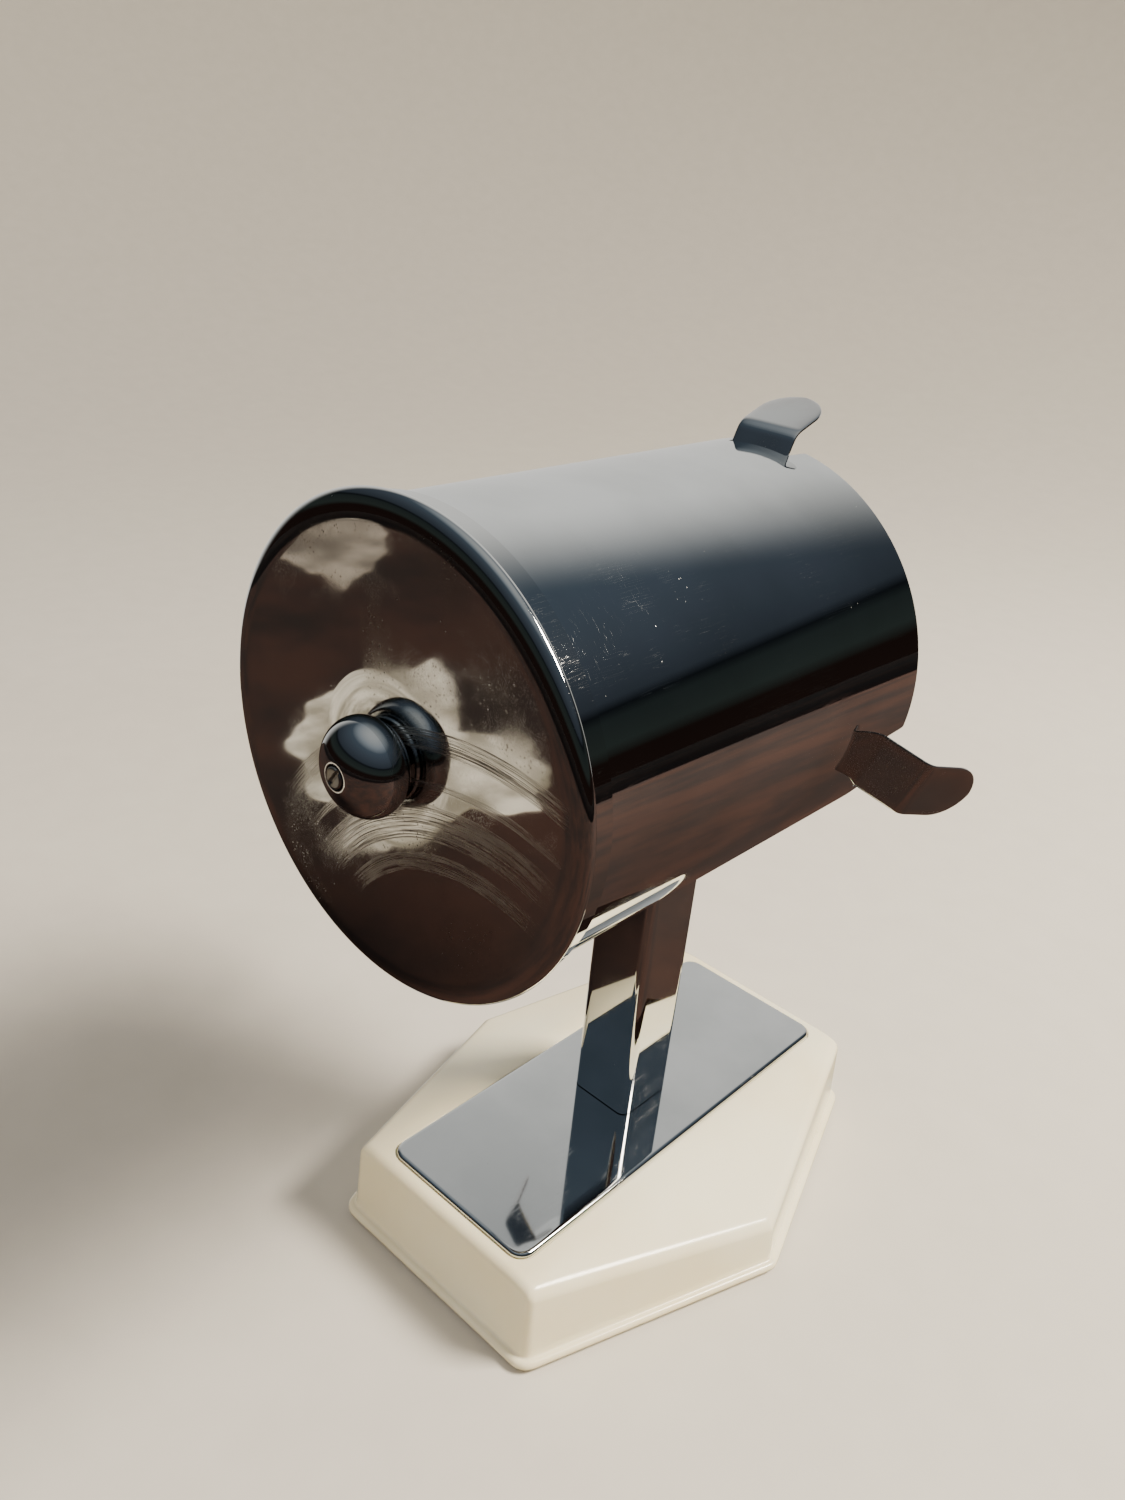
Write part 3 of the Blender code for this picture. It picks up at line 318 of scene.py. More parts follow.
def make_foot_shell():
    """Rings round the foot: under the lip, up the wall, over the edge and into the bed.

    The rounded edge is a quarter circle of the wall's inset against the top's drop.
    """
    corners = [foot_outline(0.003), plate_outline(0.0), foot_outline(FOLD_INSET)]
    turns = np.unique(np.concatenate([np.arctan2(o[:, 1], o[:, 0]) for o in corners]).round(5))
    bottom = foot_low.z
    lip_round = LIP_HEIGHT / 2
    rings = []
    inside = foot_outline(LIP_WIDTH + SHELL_WALL + WALL_LEAN)
    hole = ring(circle(SPIGOT_HOLE), turns, 0.0)
    edge = ring(inside, turns, 0.0)
    for part in np.linspace(0, 1, 9):
        row = hole * (1 - part) + edge * part
        row[:, 2] = foot_top(row[:, 0]) - SHELL_CEILING
        rings.append(row)
    rings.append(ring(foot_outline(LIP_WIDTH + SHELL_WALL), turns, bottom + MOUTH_EDGE))
    rings.append(ring(foot_outline(LIP_WIDTH + SHELL_WALL - MOUTH_EDGE), turns, bottom))
    for turn in np.radians(np.linspace(-90, 90, 9)):
        inset = lip_round * (1 - math.cos(turn))
        height = bottom + lip_round * (1 + math.sin(turn))
        rings.append(ring(foot_outline(inset), turns, height))
    for turn in np.radians(np.linspace(0, 80, 5)):
        inset = LIP_WIDTH - 0.0006 + LIP_FILLET * math.sin(turn)
        height = bottom + LIP_HEIGHT + LIP_FILLET * (1 - math.cos(turn))
        rings.append(ring(foot_outline(inset), turns, height))
    lean = LIP_WIDTH + WALL_LEAN
    for part in (0.04, 0.3, 0.6, 0.94):
        low = bottom + LIP_HEIGHT + LIP_FILLET

        def wall(x, part=part, low=low):
            return low + (foot_top(x) - TOP_ROUND - low) * part

        rings.append(ring(foot_outline(LIP_WIDTH + 0.0002 + (WALL_LEAN - 0.0002) * part), turns, wall))
    for turn in np.radians(np.linspace(0, 90, 11)):
        drop = TOP_ROUND * (1 - math.sin(turn))
        inset = lean + TOP_ROUND * (1 - math.cos(turn))
        rings.append(ring(foot_outline(inset), turns, lambda x, drop=drop: foot_top(x) - drop))
    rim = rings[-1]
    bed_rim = ring(plate_outline(BED_GAP + BED_EDGE), turns, foot_top)
    for part in (0.03, 0.15, 0.35, 0.55, 0.75, 0.9, 0.97):
        row = rim * (1 - part) + bed_rim * part
        row[:, 2] = foot_top(row[:, 0])
        rings.append(row)
    for turn in np.radians(np.linspace(0, 90, 5)):
        margin = BED_GAP + BED_EDGE * (1 - math.sin(turn))
        drop = BED_EDGE * (1 - math.cos(turn))
        rings.append(ring(plate_outline(margin), turns, lambda x, drop=drop: foot_top(x) - drop))
    bed = plate_low.z - BED_GAP
    rings.append(ring(plate_outline(BED_GAP), turns, bed))
    rings.append(ring(circle(SPIGOT_HOLE), turns, bed))
    return skin("foot_moulding", np.stack(rings))


ivory = ivory_plastic()
fit(make_foot_shell(), "foot_shell", "base", ivory)


# ============================================================ ballast and underside
# What makes the foot heavy and keeps it closed: a cast iron slab under the ceiling, an
# enamelled sheet cover held by four slotted screws, and a felt pad glued to the cover.
def dress(node, surface):
    """A CAD piece whose shape is right keeps it, and gets its finished surface."""
    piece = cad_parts[node]
    piece.data.materials.clear()
    piece.data.materials.append(surface)


def cast_iron():
    """Sand-cast skin: coarse grain, dark with faint brown rust in its hollows."""
    made, tree, shader, place = start_material("sand_cast_iron")
    grain = noise(tree, place, 420.0, 6.0, 0.7)
    rust = between(tree, noise(tree, place, 38.0, 5.0), 0.52, 0.70)
    base = tinted(tree, grain, "#2B2A2A", "#4B4A48")
    base = tinted(tree, maths(tree, "MULTIPLY", rust, 0.6), base, "#5A3A26")
    feed(tree, shader, base, maths(tree, "MULTIPLY_ADD", grain, 0.25, 0.58), 0.7)
    raise_bumps(tree, shader, grain, 0.0006, 0.8)
    return made


def black_enamel():
    """Stoved black enamel with orange peel and a few grey rubs."""
    made, tree, shader, place = start_material("black_enamel")
    rub = between(tree, noise(tree, stretched(tree, place, (30.0, 220.0, 30.0)), 1.0, 5.0), 0.60, 0.75)
    base = tinted(tree, maths(tree, "MULTIPLY", rub, 0.5), "#151516", "#4A4A4B")
    feed(tree, shader, base, maths(tree, "MULTIPLY_ADD", rub, 0.3, 0.28))
    raise_bumps(tree, shader, noise(tree, place, 500.0, 2.0), 0.0002, 0.4)
    return made


def wool_felt():
    """Pressed wool: matted fibres in two greens, fuzzy at the edge of sight."""
    made, tree, shader, place = start_material("wool_felt")
    fibres = noise(tree, stretched(tree, place, (1500.0, 500.0, 900.0), (0.4, 0.7, 1.1)), 1.0, 6.0, 0.7, 1.2)
    matted = noise(tree, place, 160.0, 6.0, 0.65)
    mixed = maths(tree, "MULTIPLY", fibres, matted)
    base = tinted(tree, between(tree, mixed, 0.12, 0.42), "#1E3527", "#4F6B52")
    worn = between(tree, noise(tree, place, 22.0, 3.0), 0.55, 0.75)
    base = tinted(tree, maths(tree, "MULTIPLY", worn, 0.35), base, "#7D7F68")
    feed(tree, shader, base, maths(tree, "MULTIPLY_ADD", matted, 0.1, 0.88))
    shader.inputs["Sheen Weight"].default_value = 0.5
    shader.inputs["Sheen Roughness"].default_value = 0.4
    raise_bumps(tree, shader, mixed, 0.0006, 1.0)
    return made


def zinc_steel():
    """Zinc plated steel: cool grey, cloudy passivation, fine turning marks."""
    made, tree, shader, place = start_material("zinc_steel")
    cloud = noise(tree, place, 120.0, 4.0)
    marks = noise(tree, stretched(tree, place, (200.0, 3000.0, 200.0)), 1.0, 3.0)
    base = tinted(tree, between(tree, cloud, 0.35, 0.65), "#A9ABAD", "#C3C0B4")
    feed(tree, shader, base, maths(tree, "MULTIPLY_ADD", cloud, 0.25, 0.24), 1.0)
    raise_bumps(tree, shader, marks, 0.00008, 0.6)
    return made


zinc = zinc_steel()
felt = wool_felt()
dress("ballast_plate", cast_iron())
dress("bottom_cover", black_enamel())
dress("felt_pad", felt)
SLOT_WIDTH = 0.0009
SLOT_DEPTH = 0.0006
SLOT_SOFTNESS = 0.00005
SCREW_HEAD = 0.0010
SCREW_SHANK = 0.0014
SCREW_ROUND = 0.0004


def turned(name, outline, height, sides=160):
    """A piece turned round a line along Y: an outline of (radius, y) goes round in a circle."""
    turns = np.linspace(0, 2 * np.pi, sides, endpoint=False)
    radius = outline[:, 0, None]
    x = radius * np.sin(turns)
    y = np.broadcast_to(outline[:, 1, None], x.shape)
    return skin(name, np.stack([x, y, height + radius * np.cos(turns)], axis=2))


def make_cover_screw(number):
    """A slotted screw: a turned outline stood upright, its head pressed in along a line.

    The slot is a smooth trough, as deep as the slot wherever the distance from the
    middle line is under half its width.
    """
    low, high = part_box(f"cover_screw_{number}")
    radius = (high.x - low.x) / 2
    middle = (low + high) / 2
    length = high.z - low.z
    corners = [(0.0, 0.0, 0), (radius, 0.0, SCREW_ROUND), (radius, SCREW_HEAD, 0)]
    corners += [(SCREW_SHANK, SCREW_HEAD, 0), (SCREW_SHANK, length, 0), (0.0, length, 0)]
    outline = filleted(corners)
    face = np.linspace(0, 1, 14)[1:-1, None] * np.array([[radius - 0.0005, 0.0]])
    outline = np.vstack([outline[:1], face, outline[1:]])
    turns = np.linspace(0, 2 * np.pi, 96, endpoint=False)
    x = outline[:, 0, None] * np.cos(turns)
    y = outline[:, 0, None] * np.sin(turns)
    z = np.broadcast_to(outline[:, 1, None], x.shape).copy()
    across = np.abs(x * math.cos(number) + y * math.sin(number))
    pressed = SLOT_DEPTH / (1 + np.exp((across - SLOT_WIDTH / 2) / SLOT_SOFTNESS))
    z += np.where(z < SCREW_HEAD / 2, pressed, 0.0)
    return skin(f"slotted_screw_{number}", np.stack([x + middle.x, y + middle.y, z + low.z], axis=2))


for number in (1, 2, 3, 4):
    fit(make_cover_screw(number), f"cover_screw_{number}", "base", zinc)


# ============================================================ top plate
# A pressed brass plate with its edges turned down, polished and chromium plated. It lies
# in the foot's bed, and the post stands on it.
def chrome(name, tint="#DFE1E2", haze=0.03, scratch=0.25, wave=1.0):
    """Polished chromium: cool, nearly mirror bright, with hairline scratches and dust.

    Scratches are thin ridges of stretched noise, laid in three directions and kept
    to patches; each makes the polish duller and a hair deeper.
    """
    made, tree, shader, place = start_material(name)
    lines = 0.0
    for turn, size in ((0.3, 1700.0), (1.25, 1400.0), (2.3, 2100.0)):
        laid = stretched(tree, place, (size, size * 0.022, size * 0.5), (turn, turn * 0.7, turn))
        streak = noise(tree, laid, 1.0, 2.0, 0.5)
        thin = between(tree, maths(tree, "ABSOLUTE", maths(tree, "SUBTRACT", streak, 0.5)), 0.008, 0.0)
        patch = between(tree, noise(tree, place, 30.0 + 12 * turn, 3.0), 0.52, 0.66)
        lines = maths(tree, "MULTIPLY_ADD", thin, patch, lines)
    cells = add_node(tree, "ShaderNodeTexVoronoi", {"Vector": place, "Scale": 480.0})
    dust = between(tree, cells.outputs["Distance"], 0.10, 0.04)
    dust = maths(tree, "MULTIPLY", dust, between(tree, noise(tree, place, 75.0, 2.0), 0.60, 0.68))
    cloud = noise(tree, place, 26.0, 4.0)
    base = tinted(tree, between(tree, cloud, 0.3, 0.7), tint, "#CFD2D3")
    base = tinted(tree, maths(tree, "MULTIPLY", dust, 0.35), base, "#8C8880")
    rough = maths(tree, "MULTIPLY_ADD", cloud, haze, haze)
    rough = maths(tree, "MULTIPLY_ADD", lines, scratch, rough)
    feed(tree, shader, base, maths(tree, "MULTIPLY_ADD", dust, 0.3, rough), 1.0)
    ripple = maths(tree, "MULTIPLY", noise(tree, place, 11.0, 1.0), wave)
    raise_bumps(tree, shader, maths(tree, "MULTIPLY_ADD", lines, -0.006, ripple), 0.0004, 0.4)
    return made


TURNED_EDGE = 0.0011


def make_plate():
    """Rings of the rounded rectangle: flat above, a quarter circle at the turned edge."""
    outline = plate_outline(0.0)
    turns = np.unique(np.arctan2(outline[:, 1], outline[:, 0]).round(5))
    hole = circle(SPIGOT_HOLE)
    rings = [ring(hole, turns, plate_low.z), ring(plate_outline(-0.0002), turns, plate_low.z)]
    rings.append(ring(plate_outline(0.0), turns, plate_low.z + 0.0002))
    for turn in np.radians(np.linspace(0, 90, 9)):
        margin = -TURNED_EDGE * (1 - math.cos(turn))
        height = plate_high.z - TURNED_EDGE * (1 - math.sin(turn))
        rings.append(ring(plate_outline(margin), turns, height))
    rings.append(ring(plate_outline(-TURNED_EDGE - 0.0004), turns, plate_high.z))
    rings.append(ring(circle(0.024), turns, plate_high.z))
    rings.append(ring(hole, turns, plate_high.z))
    return skin("plate_pressing", np.stack(rings))


plate_chrome = chrome("plate_chrome", haze=0.025, scratch=0.18, wave=0.5)
fit(make_plate(), "top_plate", "base", plate_chrome)


# ============================================================ post and its tie rod
# A square drawn tube with rounded corners, chromium plated, cut at the top to the
# drum's curve. A steel rod inside pulls the drum, the tube and the foot together.
drum_low, drum_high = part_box("drum")
post_low, post_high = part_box("post")
axis_height = (drum_low.z + drum_high.z) / 2
drum_radius = (drum_high.x - drum_low.x) / 2
POST_CORNER = 0.0030
POST_WALL = 0.0015
SEAT_GAP = 0.0003


def make_post():
    """The rounded square at each level; the top follows the circle of the drum."""
    half = post_high.x
    levels = []
    for inset, end in ((0.0, 0), (0.0, 1), (POST_WALL, 1), (POST_WALL, 0)):
        a = half - inset
        levels.append((rectangle(a, a, POST_CORNER - inset, 10, 0.0012), end))
    turns = np.arctan2(levels[0][0][:, 1], levels[0][0][:, 0])
    rings = []
    for outline, end in levels:
        row = ring(outline, turns, post_low.z)
        if end:
            under = np.sqrt((drum_radius + SEAT_GAP) ** 2 - row[:, 0] ** 2)
            row[:, 2] = axis_height - under
        rings.append(row)
    return skin("post_tube", np.stack(rings))


fit(make_post(), "post", "base", chrome("post_chrome", haze=0.025, scratch=0.2, wave=0.4))


def turned_brass():
    """Turned brass, browned in patches, with the tool's fine rings."""
    made, tree, shader, place = start_material("turned_brass")
    brown = between(tree, noise(tree, place, 90.0, 5.0), 0.45, 0.7)
    base = tinted(tree, brown, "#C9A55C", "#8C6A35")
    feed(tree, shader, base, maths(tree, "MULTIPLY_ADD", brown, 0.2, 0.22), 1.0)
    rings = noise(tree, stretched(tree, place, (300.0, 4000.0, 300.0)), 1.0, 2.0)
    raise_bumps(tree, shader, rings, 0.00008, 0.6)
    return made


brass = turned_brass()
for node in ("post_foot_block", "post_saddle_block", "tie_rod", "tie_washer", "tie_nut"):
    dress(node, zinc)
dress("head_nut", brass)


# ============================================================ drum
# The head's casing: a drawn brass tube with one millimetre of wall, chromium plated in
# and out. Three notches in its front rim let the finger tabs stand out.
tab_angles = np.radians([90.0, 200.0, -20.0])
DRUM_WALL = 0.0010
RIM_ROUND = 0.0004
NOTCH_HALF_WIDTH = 0.0097
NOTCH_DEPTH = 0.0088
NOTCH_EASE = 0.00035
NOTCH_REACH = 0.012  # how far from the rim the wall is still drawn back by a notch
BACK_ROUND = 0.0003


def tube_turns(spacing=240):
    """Directions round the tube, bunched at the notches' edges. Zero points up."""
    even = np.linspace(-np.pi, np.pi, spacing, endpoint=False)
    edge = NOTCH_HALF_WIDTH / drum_radius
    ease = NOTCH_EASE / drum_radius
    bunch = np.concatenate([side * edge + np.linspace(-3, 3, 13) * ease for side in (-1, 1)])
    near = np.concatenate([np.pi / 2 - angle + bunch for angle in tab_angles])
    wrapped = (np.concatenate([even, near]) + np.pi) % (2 * np.pi) - np.pi
    return np.unique(wrapped.round(6))


def notch_depth(turns):
    """How far the rim is cut back: full depth within a notch, eased at its two edges."""
    cut = np.zeros_like(turns)
    for angle in tab_angles:
        off = (turns - (np.pi / 2 - angle) + np.pi) % (2 * np.pi) - np.pi
        past = np.abs(off) * drum_radius - NOTCH_HALF_WIDTH
        cut += NOTCH_DEPTH / (1 + np.exp(np.clip(past / (NOTCH_EASE / 3), -40, 40)))
    return cut


def make_drum():
    """The tube's wall outline goes round; each point's y slides back with the notches."""
    outer, inner = drum_radius, drum_radius - DRUM_WALL
    front, back = drum_low.y, drum_high.y
    corners = [(outer, back, BACK_ROUND), (outer, front, RIM_ROUND)]
    corners += [(inner, front, RIM_ROUND), (inner, back, BACK_ROUND)]
    outline = filleted(corners, 5)
    middle = np.array([[outer, front + NOTCH_REACH], [outer, front + 0.03]])
    first = np.flatnonzero(outline[:, 1] < (front + back) / 2)
    outside, inside = outline[: first[0]], outline[first[-1] + 1 :]
    within = middle - [DRUM_WALL, 0.0]
    outline = np.vstack([outside, middle[::-1], outline[first], within, inside])
    turns = tube_turns()
    share = np.clip((front + NOTCH_REACH - outline[:, 1]) / NOTCH_REACH, 0, 1)[:, None]
    y = outline[:, 1, None] + share * notch_depth(turns)
    x = outline[:, 0, None] * np.sin(turns)
    z = axis_height + outline[:, 0, None] * np.cos(turns)
    return skin("drum_casing", np.stack([x, y, z], axis=2))


def reopened(made):
    """A finished material's tree, shader and place, and the sockets it already uses."""
    tree = made.node_tree
    shader = tree.nodes["Principled BSDF"]
    place = tree.nodes["Texture Coordinate"].outputs["Object"]
    used = [shader.inputs[name].links[0].from_socket for name in ("Base Color", "Roughness")]
    return tree, shader, place, *used


def drum_chrome():
    """Chromium over a drawn tube: a faint haze round the tube and short rub marks.

    Round the tube, place is the arc from straight up and the distance along; rub marks
    are thin ridges of noise stretched round the tube and kept near the lid's end.
    """
    made = chrome("drum_chrome", "#E0E3E5", 0.020, 0.10, 0.5)
    tree, shader, place, colour, rough = reopened(made)
    parts = add_node(tree, "ShaderNodeSeparateXYZ", {"Vector": place}).outputs
    rise = maths(tree, "SUBTRACT", parts["Z"], axis_height)
    arc = maths(tree, "MULTIPLY", maths(tree, "ARCTAN2", parts["X"], rise), drum_radius)
    flat = add_node(tree, "ShaderNodeCombineXYZ", {"X": arc, "Y": parts["Y"]}).outputs["Vector"]
    rubs = 0.0
    for turn, size in ((0.12, 170.0), (-0.2, 230.0)):
        laid = stretched(tree, flat, (size, size * 40, 1.0), (0.0, 0.0, turn))
        streak = noise(tree, laid, 1.0, 2.0)
        thin = between(tree, streak, 0.66, 0.74)
        rubs = maths(tree, "ADD", rubs, thin)
    near_lid = between(tree, parts["Y"], 0.010, 0.075)
    patch = between(tree, noise(tree, flat, 38.0, 3.0), 0.46, 0.62)
    rubs = maths(tree, "MULTIPLY", maths(tree, "MULTIPLY", rubs, patch), near_lid)
    lighter = tinted(tree, maths(tree, "MULTIPLY", rubs, 0.10), colour, "#F2F3F3")
    feed(tree, shader, lighter, maths(tree, "MULTIPLY_ADD", rubs, 0.12, rough), 1.0)
    return made


fit(make_drum(), "drum", "base", drum_chrome())
dress("guide_ring", felt)


# ============================================================ rear works
# Behind the mirror: a pressed disc fixed in the drum carries the guide rod, which is held
# by a nut behind it and has a stop nut and washer at its front end.
rod_low, rod_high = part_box("guide_rod")
knob_low, knob_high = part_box("lid_knob")
TAIL_RADIUS = 0.0025
ROD_RADIUS = (rod_high.x - rod_low.x) / 2
THREAD_PITCH = 0.0008
THREAD_DEPTH = 0.0003
ROD_SLOT_DEPTH = 0.0007
ROD_SLOT_HALF_WIDTH = 0.00035
ROD_SLOT_SOFTNESS = 0.00004
ROD_SLOT_ACROSS = (0.8, 0.6)


def make_guide_rod():
    """A stepped rod. Its tail end, seen in the knob, is domed and slotted.

    The tail's radius ripples along its thread; the slot is pressed in like a trough.
    """
    tip = rod_high.y
    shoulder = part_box("rear_disc")[0].y - 0.0003
    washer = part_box("stop_washer")[1].y + 0.0003
    face = np.linspace(0, 1, 12)[:, None] * np.array([[TAIL_RADIUS - 0.0006, 0.0]]) + [0.0, tip]
    edge = filleted([(0.0, tip, 0), (TAIL_RADIUS, tip, 0.0005), (TAIL_RADIUS, tip - 0.001, 0)])[1:]
    threads = np.arange(tip - 0.001, shoulder, -THREAD_PITCH / 4)
    ripple = TAIL_RADIUS - THREAD_DEPTH / 2 * (1 - np.cos(2 * np.pi * threads / THREAD_PITCH))
    steps = [(TAIL_RADIUS, shoulder), (ROD_RADIUS, shoulder), (ROD_RADIUS, washer)]
    steps += [(TAIL_RADIUS, washer), (TAIL_RADIUS, rod_low.y), (0.0, rod_low.y)]
    outline = np.vstack([face, edge, np.stack([ripple, threads], axis=1), steps])
    turns = np.linspace(0, 2 * np.pi, 64, endpoint=False)
    x = outline[:, 0, None] * np.sin(turns)
    rise = outline[:, 0, None] * np.cos(turns)
    y = np.broadcast_to(outline[:, 1, None], x.shape).copy()
    across = np.abs(x * ROD_SLOT_ACROSS[0] + rise * ROD_SLOT_ACROSS[1])
    pressed = ROD_SLOT_DEPTH / (1 + np.exp((across - ROD_SLOT_HALF_WIDTH) / ROD_SLOT_SOFTNESS))
    y -= np.where(y > tip - 0.0003, pressed, 0.0)
    return skin("slotted_rod", np.stack([x, y, axis_height + rise], axis=2))


fit(make_guide_rod(), "guide_rod", "base", zinc)
for node in ("rear_disc", "rod_nut", "stop_nut", "stop_washer"):
    dress(node, zinc)


# ============================================================ lid
# A pressed brass lid, chromium plated: flat face, soft shoulder, rolled bead and a short
# skirt that slips over the drum. Years of wiping have clouded, pitted and rubbed it.
lid_low, lid_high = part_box("lid")
LID_SHEET = 0.0010
LID_FLAT = 0.0515
LID_BEAD_BACK = 0.0028
LID_HOLE = 0.0031


def lid_outline():
    """Half the lid's section: the face, a quarter ellipse over the shoulder to the bead,
    a quarter circle under the bead, the skirt, and the same again inside the sheet."""
    face, bead = lid_high.y, (lid_high.x - lid_low.x) / 2
    skirt = drum_radius + 0.0003 + LID_SHEET
    turns = np.radians(np.linspace(0, 90, 17))
    shoulder = np.stack(
        [
            LID_FLAT + (bead - LID_FLAT) * np.sin(turns),
            face - LID_BEAD_BACK * (1 - np.cos(turns)),
        ],
        axis=1,
    )
    roll = bead - skirt
    turns = np.radians(np.linspace(0, 90, 9))[1:]
    under = np.stack([skirt + roll * np.cos(turns), face - LID_BEAD_BACK - roll * np.sin(turns)], axis=1)
    start = [[LID_HOLE, face], [0.0205, face], [LID_FLAT - 0.0006, face]]
    foot = [[skirt, lid_low.y + 0.0002], [skirt - 0.0002, lid_low.y], [skirt - LID_SHEET, lid_low.y]]
    inside = [[skirt - LID_SHEET, face - LID_BEAD_BACK], [LID_FLAT, face - LID_SHEET]]
    inside += [[LID_HOLE, face - LID_SHEET]]
    hump = [[0.0028, face - 0.0002]]
    return np.vstack([start, shoulder, under, foot, inside, hump])


RUB_CENTRE = (-0.031, -0.066)  # across and up from the lid's middle: something pivoted there
RUB_RADII = ((0.0485, 0.0525), (0.0560, 0.0585), (0.0595, 0.0640), (0.0680, 0.0695), (0.0765, 0.0810))


def distance(tree, across, rise):
    """How far a place is from a line along Y: the root of the two squares' sum."""
    squares = [maths(tree, "POWER", part, 2.0) for part in (across, rise)]
    return maths(tree, "SQRT", maths(tree, "ADD", *squares))


def lid_chrome():
    """Chromium dulled by age: cloudy patches, pits round the knob, and curved rub marks.

    The rub marks are thin rings round one point outside the lid, each ring a ridge of
    noise read along its radius, kept to five bands and fading out along the arc.
    """
    made = chrome("lid_chrome", "#D6D7D7", 0.024, 0.15, 0.9)
    tree, shader, place, colour, rough = reopened(made)
    parts = add_node(tree, "ShaderNodeSeparateXYZ", {"Vector": place}).outputs
    across = maths(tree, "SUBTRACT", parts["X"], RUB_CENTRE[0])
    rise = maths(tree, "SUBTRACT", parts["Z"], axis_height + RUB_CENTRE[1])
    reach = distance(tree, across, rise)
    wobble = maths(tree, "MULTIPLY_ADD", noise(tree, place, 30.0, 2.0), 0.0012, reach)
    angle = maths(tree, "ARCTAN2", across, rise)
    rings = maths(tree, "MULTIPLY", wobble, 2600.0)
    spread = add_node(
        tree, "ShaderNodeCombineXYZ", {"X": rings, "Y": maths(tree, "MULTIPLY", angle, 1.3)}
    )
    streak = noise(tree, spread.outputs["Vector"], 1.0, 3.0, 0.6)
    thin = between(tree, maths(tree, "ABSOLUTE", maths(tree, "SUBTRACT", streak, 0.5)), 0.060, 0.01)
    bands = 0.0
    for low, high in RUB_RADII:
        middle, half = (low + high) / 2, (high - low) / 2
        off = maths(tree, "ABSOLUTE", maths(tree, "SUBTRACT", wobble, middle))
        bands = maths(tree, "ADD", bands, between(tree, off, half + 0.0004, half))
    fade = between(tree, maths(tree, "ABSOLUTE", maths(tree, "SUBTRACT", angle, 0.28)), 0.75, 0.35)
    face = between(tree, parts["Y"], lid_high.y - 0.0004, lid_high.y - 0.0001)
    rubs = maths(tree, "MULTIPLY", maths(tree, "MULTIPLY", thin, bands), maths(tree, "MULTIPLY", fade, face))
    cells = add_node(tree, "ShaderNodeTexVoronoi", {"Vector": place, "Scale": 900.0})
    pits = between(tree, cells.outputs["Distance"], 0.30, 0.12)
    clouded = between(tree, noise(tree, place, 34.0, 6.0, 0.6), 0.47, 0.70)
    pits = maths(tree, "MULTIPLY", maths(tree, "MULTIPLY", pits, clouded), face)
    stain = maths(tree, "MULTIPLY", clouded, face)
    colour = tinted(tree, maths(tree, "MULTIPLY", stain, 0.25), colour, "#A9A396")
    colour = tinted(tree, maths(tree, "MULTIPLY", pits, 0.5), colour, "#6E675A")
    colour = tinted(tree, maths(tree, "MULTIPLY", rubs, 0.8), colour, "#EDEBE4")
    rough = maths(tree, "MULTIPLY_ADD", stain, 0.09, rough)
    rough = maths(tree, "MULTIPLY_ADD", pits, 0.25, rough)
    feed(tree, shader, colour, maths(tree, "MULTIPLY_ADD", rubs, 0.55, rough), 1.0)
    return made


lid = turned("pressed_lid", lid_outline(), axis_height, 240)
fit(lid, "lid", "base", lid_chrome())


# ============================================================ knob
# A flattened ball turned from solid brass and chromium plated. It screws on the guide
# rod's tail over a thin washer, and pulls the lid on to the drum.
washer_low, washer_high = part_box("knob_washer")
BALL_HALF_THICKNESS = 0.0084
BALL_TIP = 0.0031
BALL_BORE = 0.0028


def ball_outline():
    """An ellipse cut flat at its back and tip; the tip dips to the bore in a small funnel."""
    radius = (knob_high.x - knob_low.x) / 2
    centre = lid_high.y + 0.0055
    first = math.acos((knob_low.y - centre) / BALL_HALF_THICKNESS)
    last = math.asin(BALL_TIP / radius)
    turns = np.linspace(first, last, 44)
    ball = np.stack([radius * np.sin(turns), centre + BALL_HALF_THICKNESS * np.cos(turns)], axis=1)
    funnel = [[BALL_BORE + 0.0001, knob_high.y - 0.0001], [BALL_BORE, knob_high.y - 0.0004]]
    back = [[BALL_BORE, knob_low.y], [ball[0, 0] - 0.0003, knob_low.y]]
    return np.vstack([back, ball[1:], funnel])


def washer_outline():
    low, high = washer_low.y, washer_high.y
    radius = (washer_high.x - washer_low.x) / 2
    corners = [(BALL_BORE, low, 0), (radius, low, 0.0003), (radius, high, 0.0003), (BALL_BORE, high, 0)]
    return filleted(corners)


knob_chrome = chrome("knob_chrome", "#DCDEE0", 0.035, 0.3, 0.3)
fit(turned("ball_knob", ball_outline(), axis_height), "lid_knob", "knob", knob_chrome)
washer = turned("knob_collar", washer_outline(), axis_height)
fit(washer, "knob_washer", "knob_seat", knob_chrome)


# ============================================================ sleeve
# The sliding tube that carries the mirror: thin drawn brass, chromium plated, with its
# front edge rolled smooth. A pressed spider closes its back and runs on the guide rod.
sleeve_low, sleeve_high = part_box("sleeve")
SLEEVE_WALL = 0.0008


def tube_outline(outer, inner, low, high, edge):
    """A plain tube's wall with rounded ends."""
    corners = [(outer, high, edge), (outer, low, edge), (inner, low, edge), (inner, high, edge)]
    return filleted(corners, 5)


sleeve_radius = (sleeve_high.x - sleeve_low.x) / 2
outline = tube_outline(sleeve_radius, sleeve_radius - SLEEVE_WALL, sleeve_low.y, sleeve_high.y, 0.0003)
sleeve_chrome = chrome("sleeve_chrome", "#DCDEE0", 0.03, 0.25, 0.5)
fit(turned("sliding_sleeve", outline, axis_height, 200), "sleeve", "carriage", sleeve_chrome)
dress("rear_spider", zinc)
dress("spider_bush", brass)


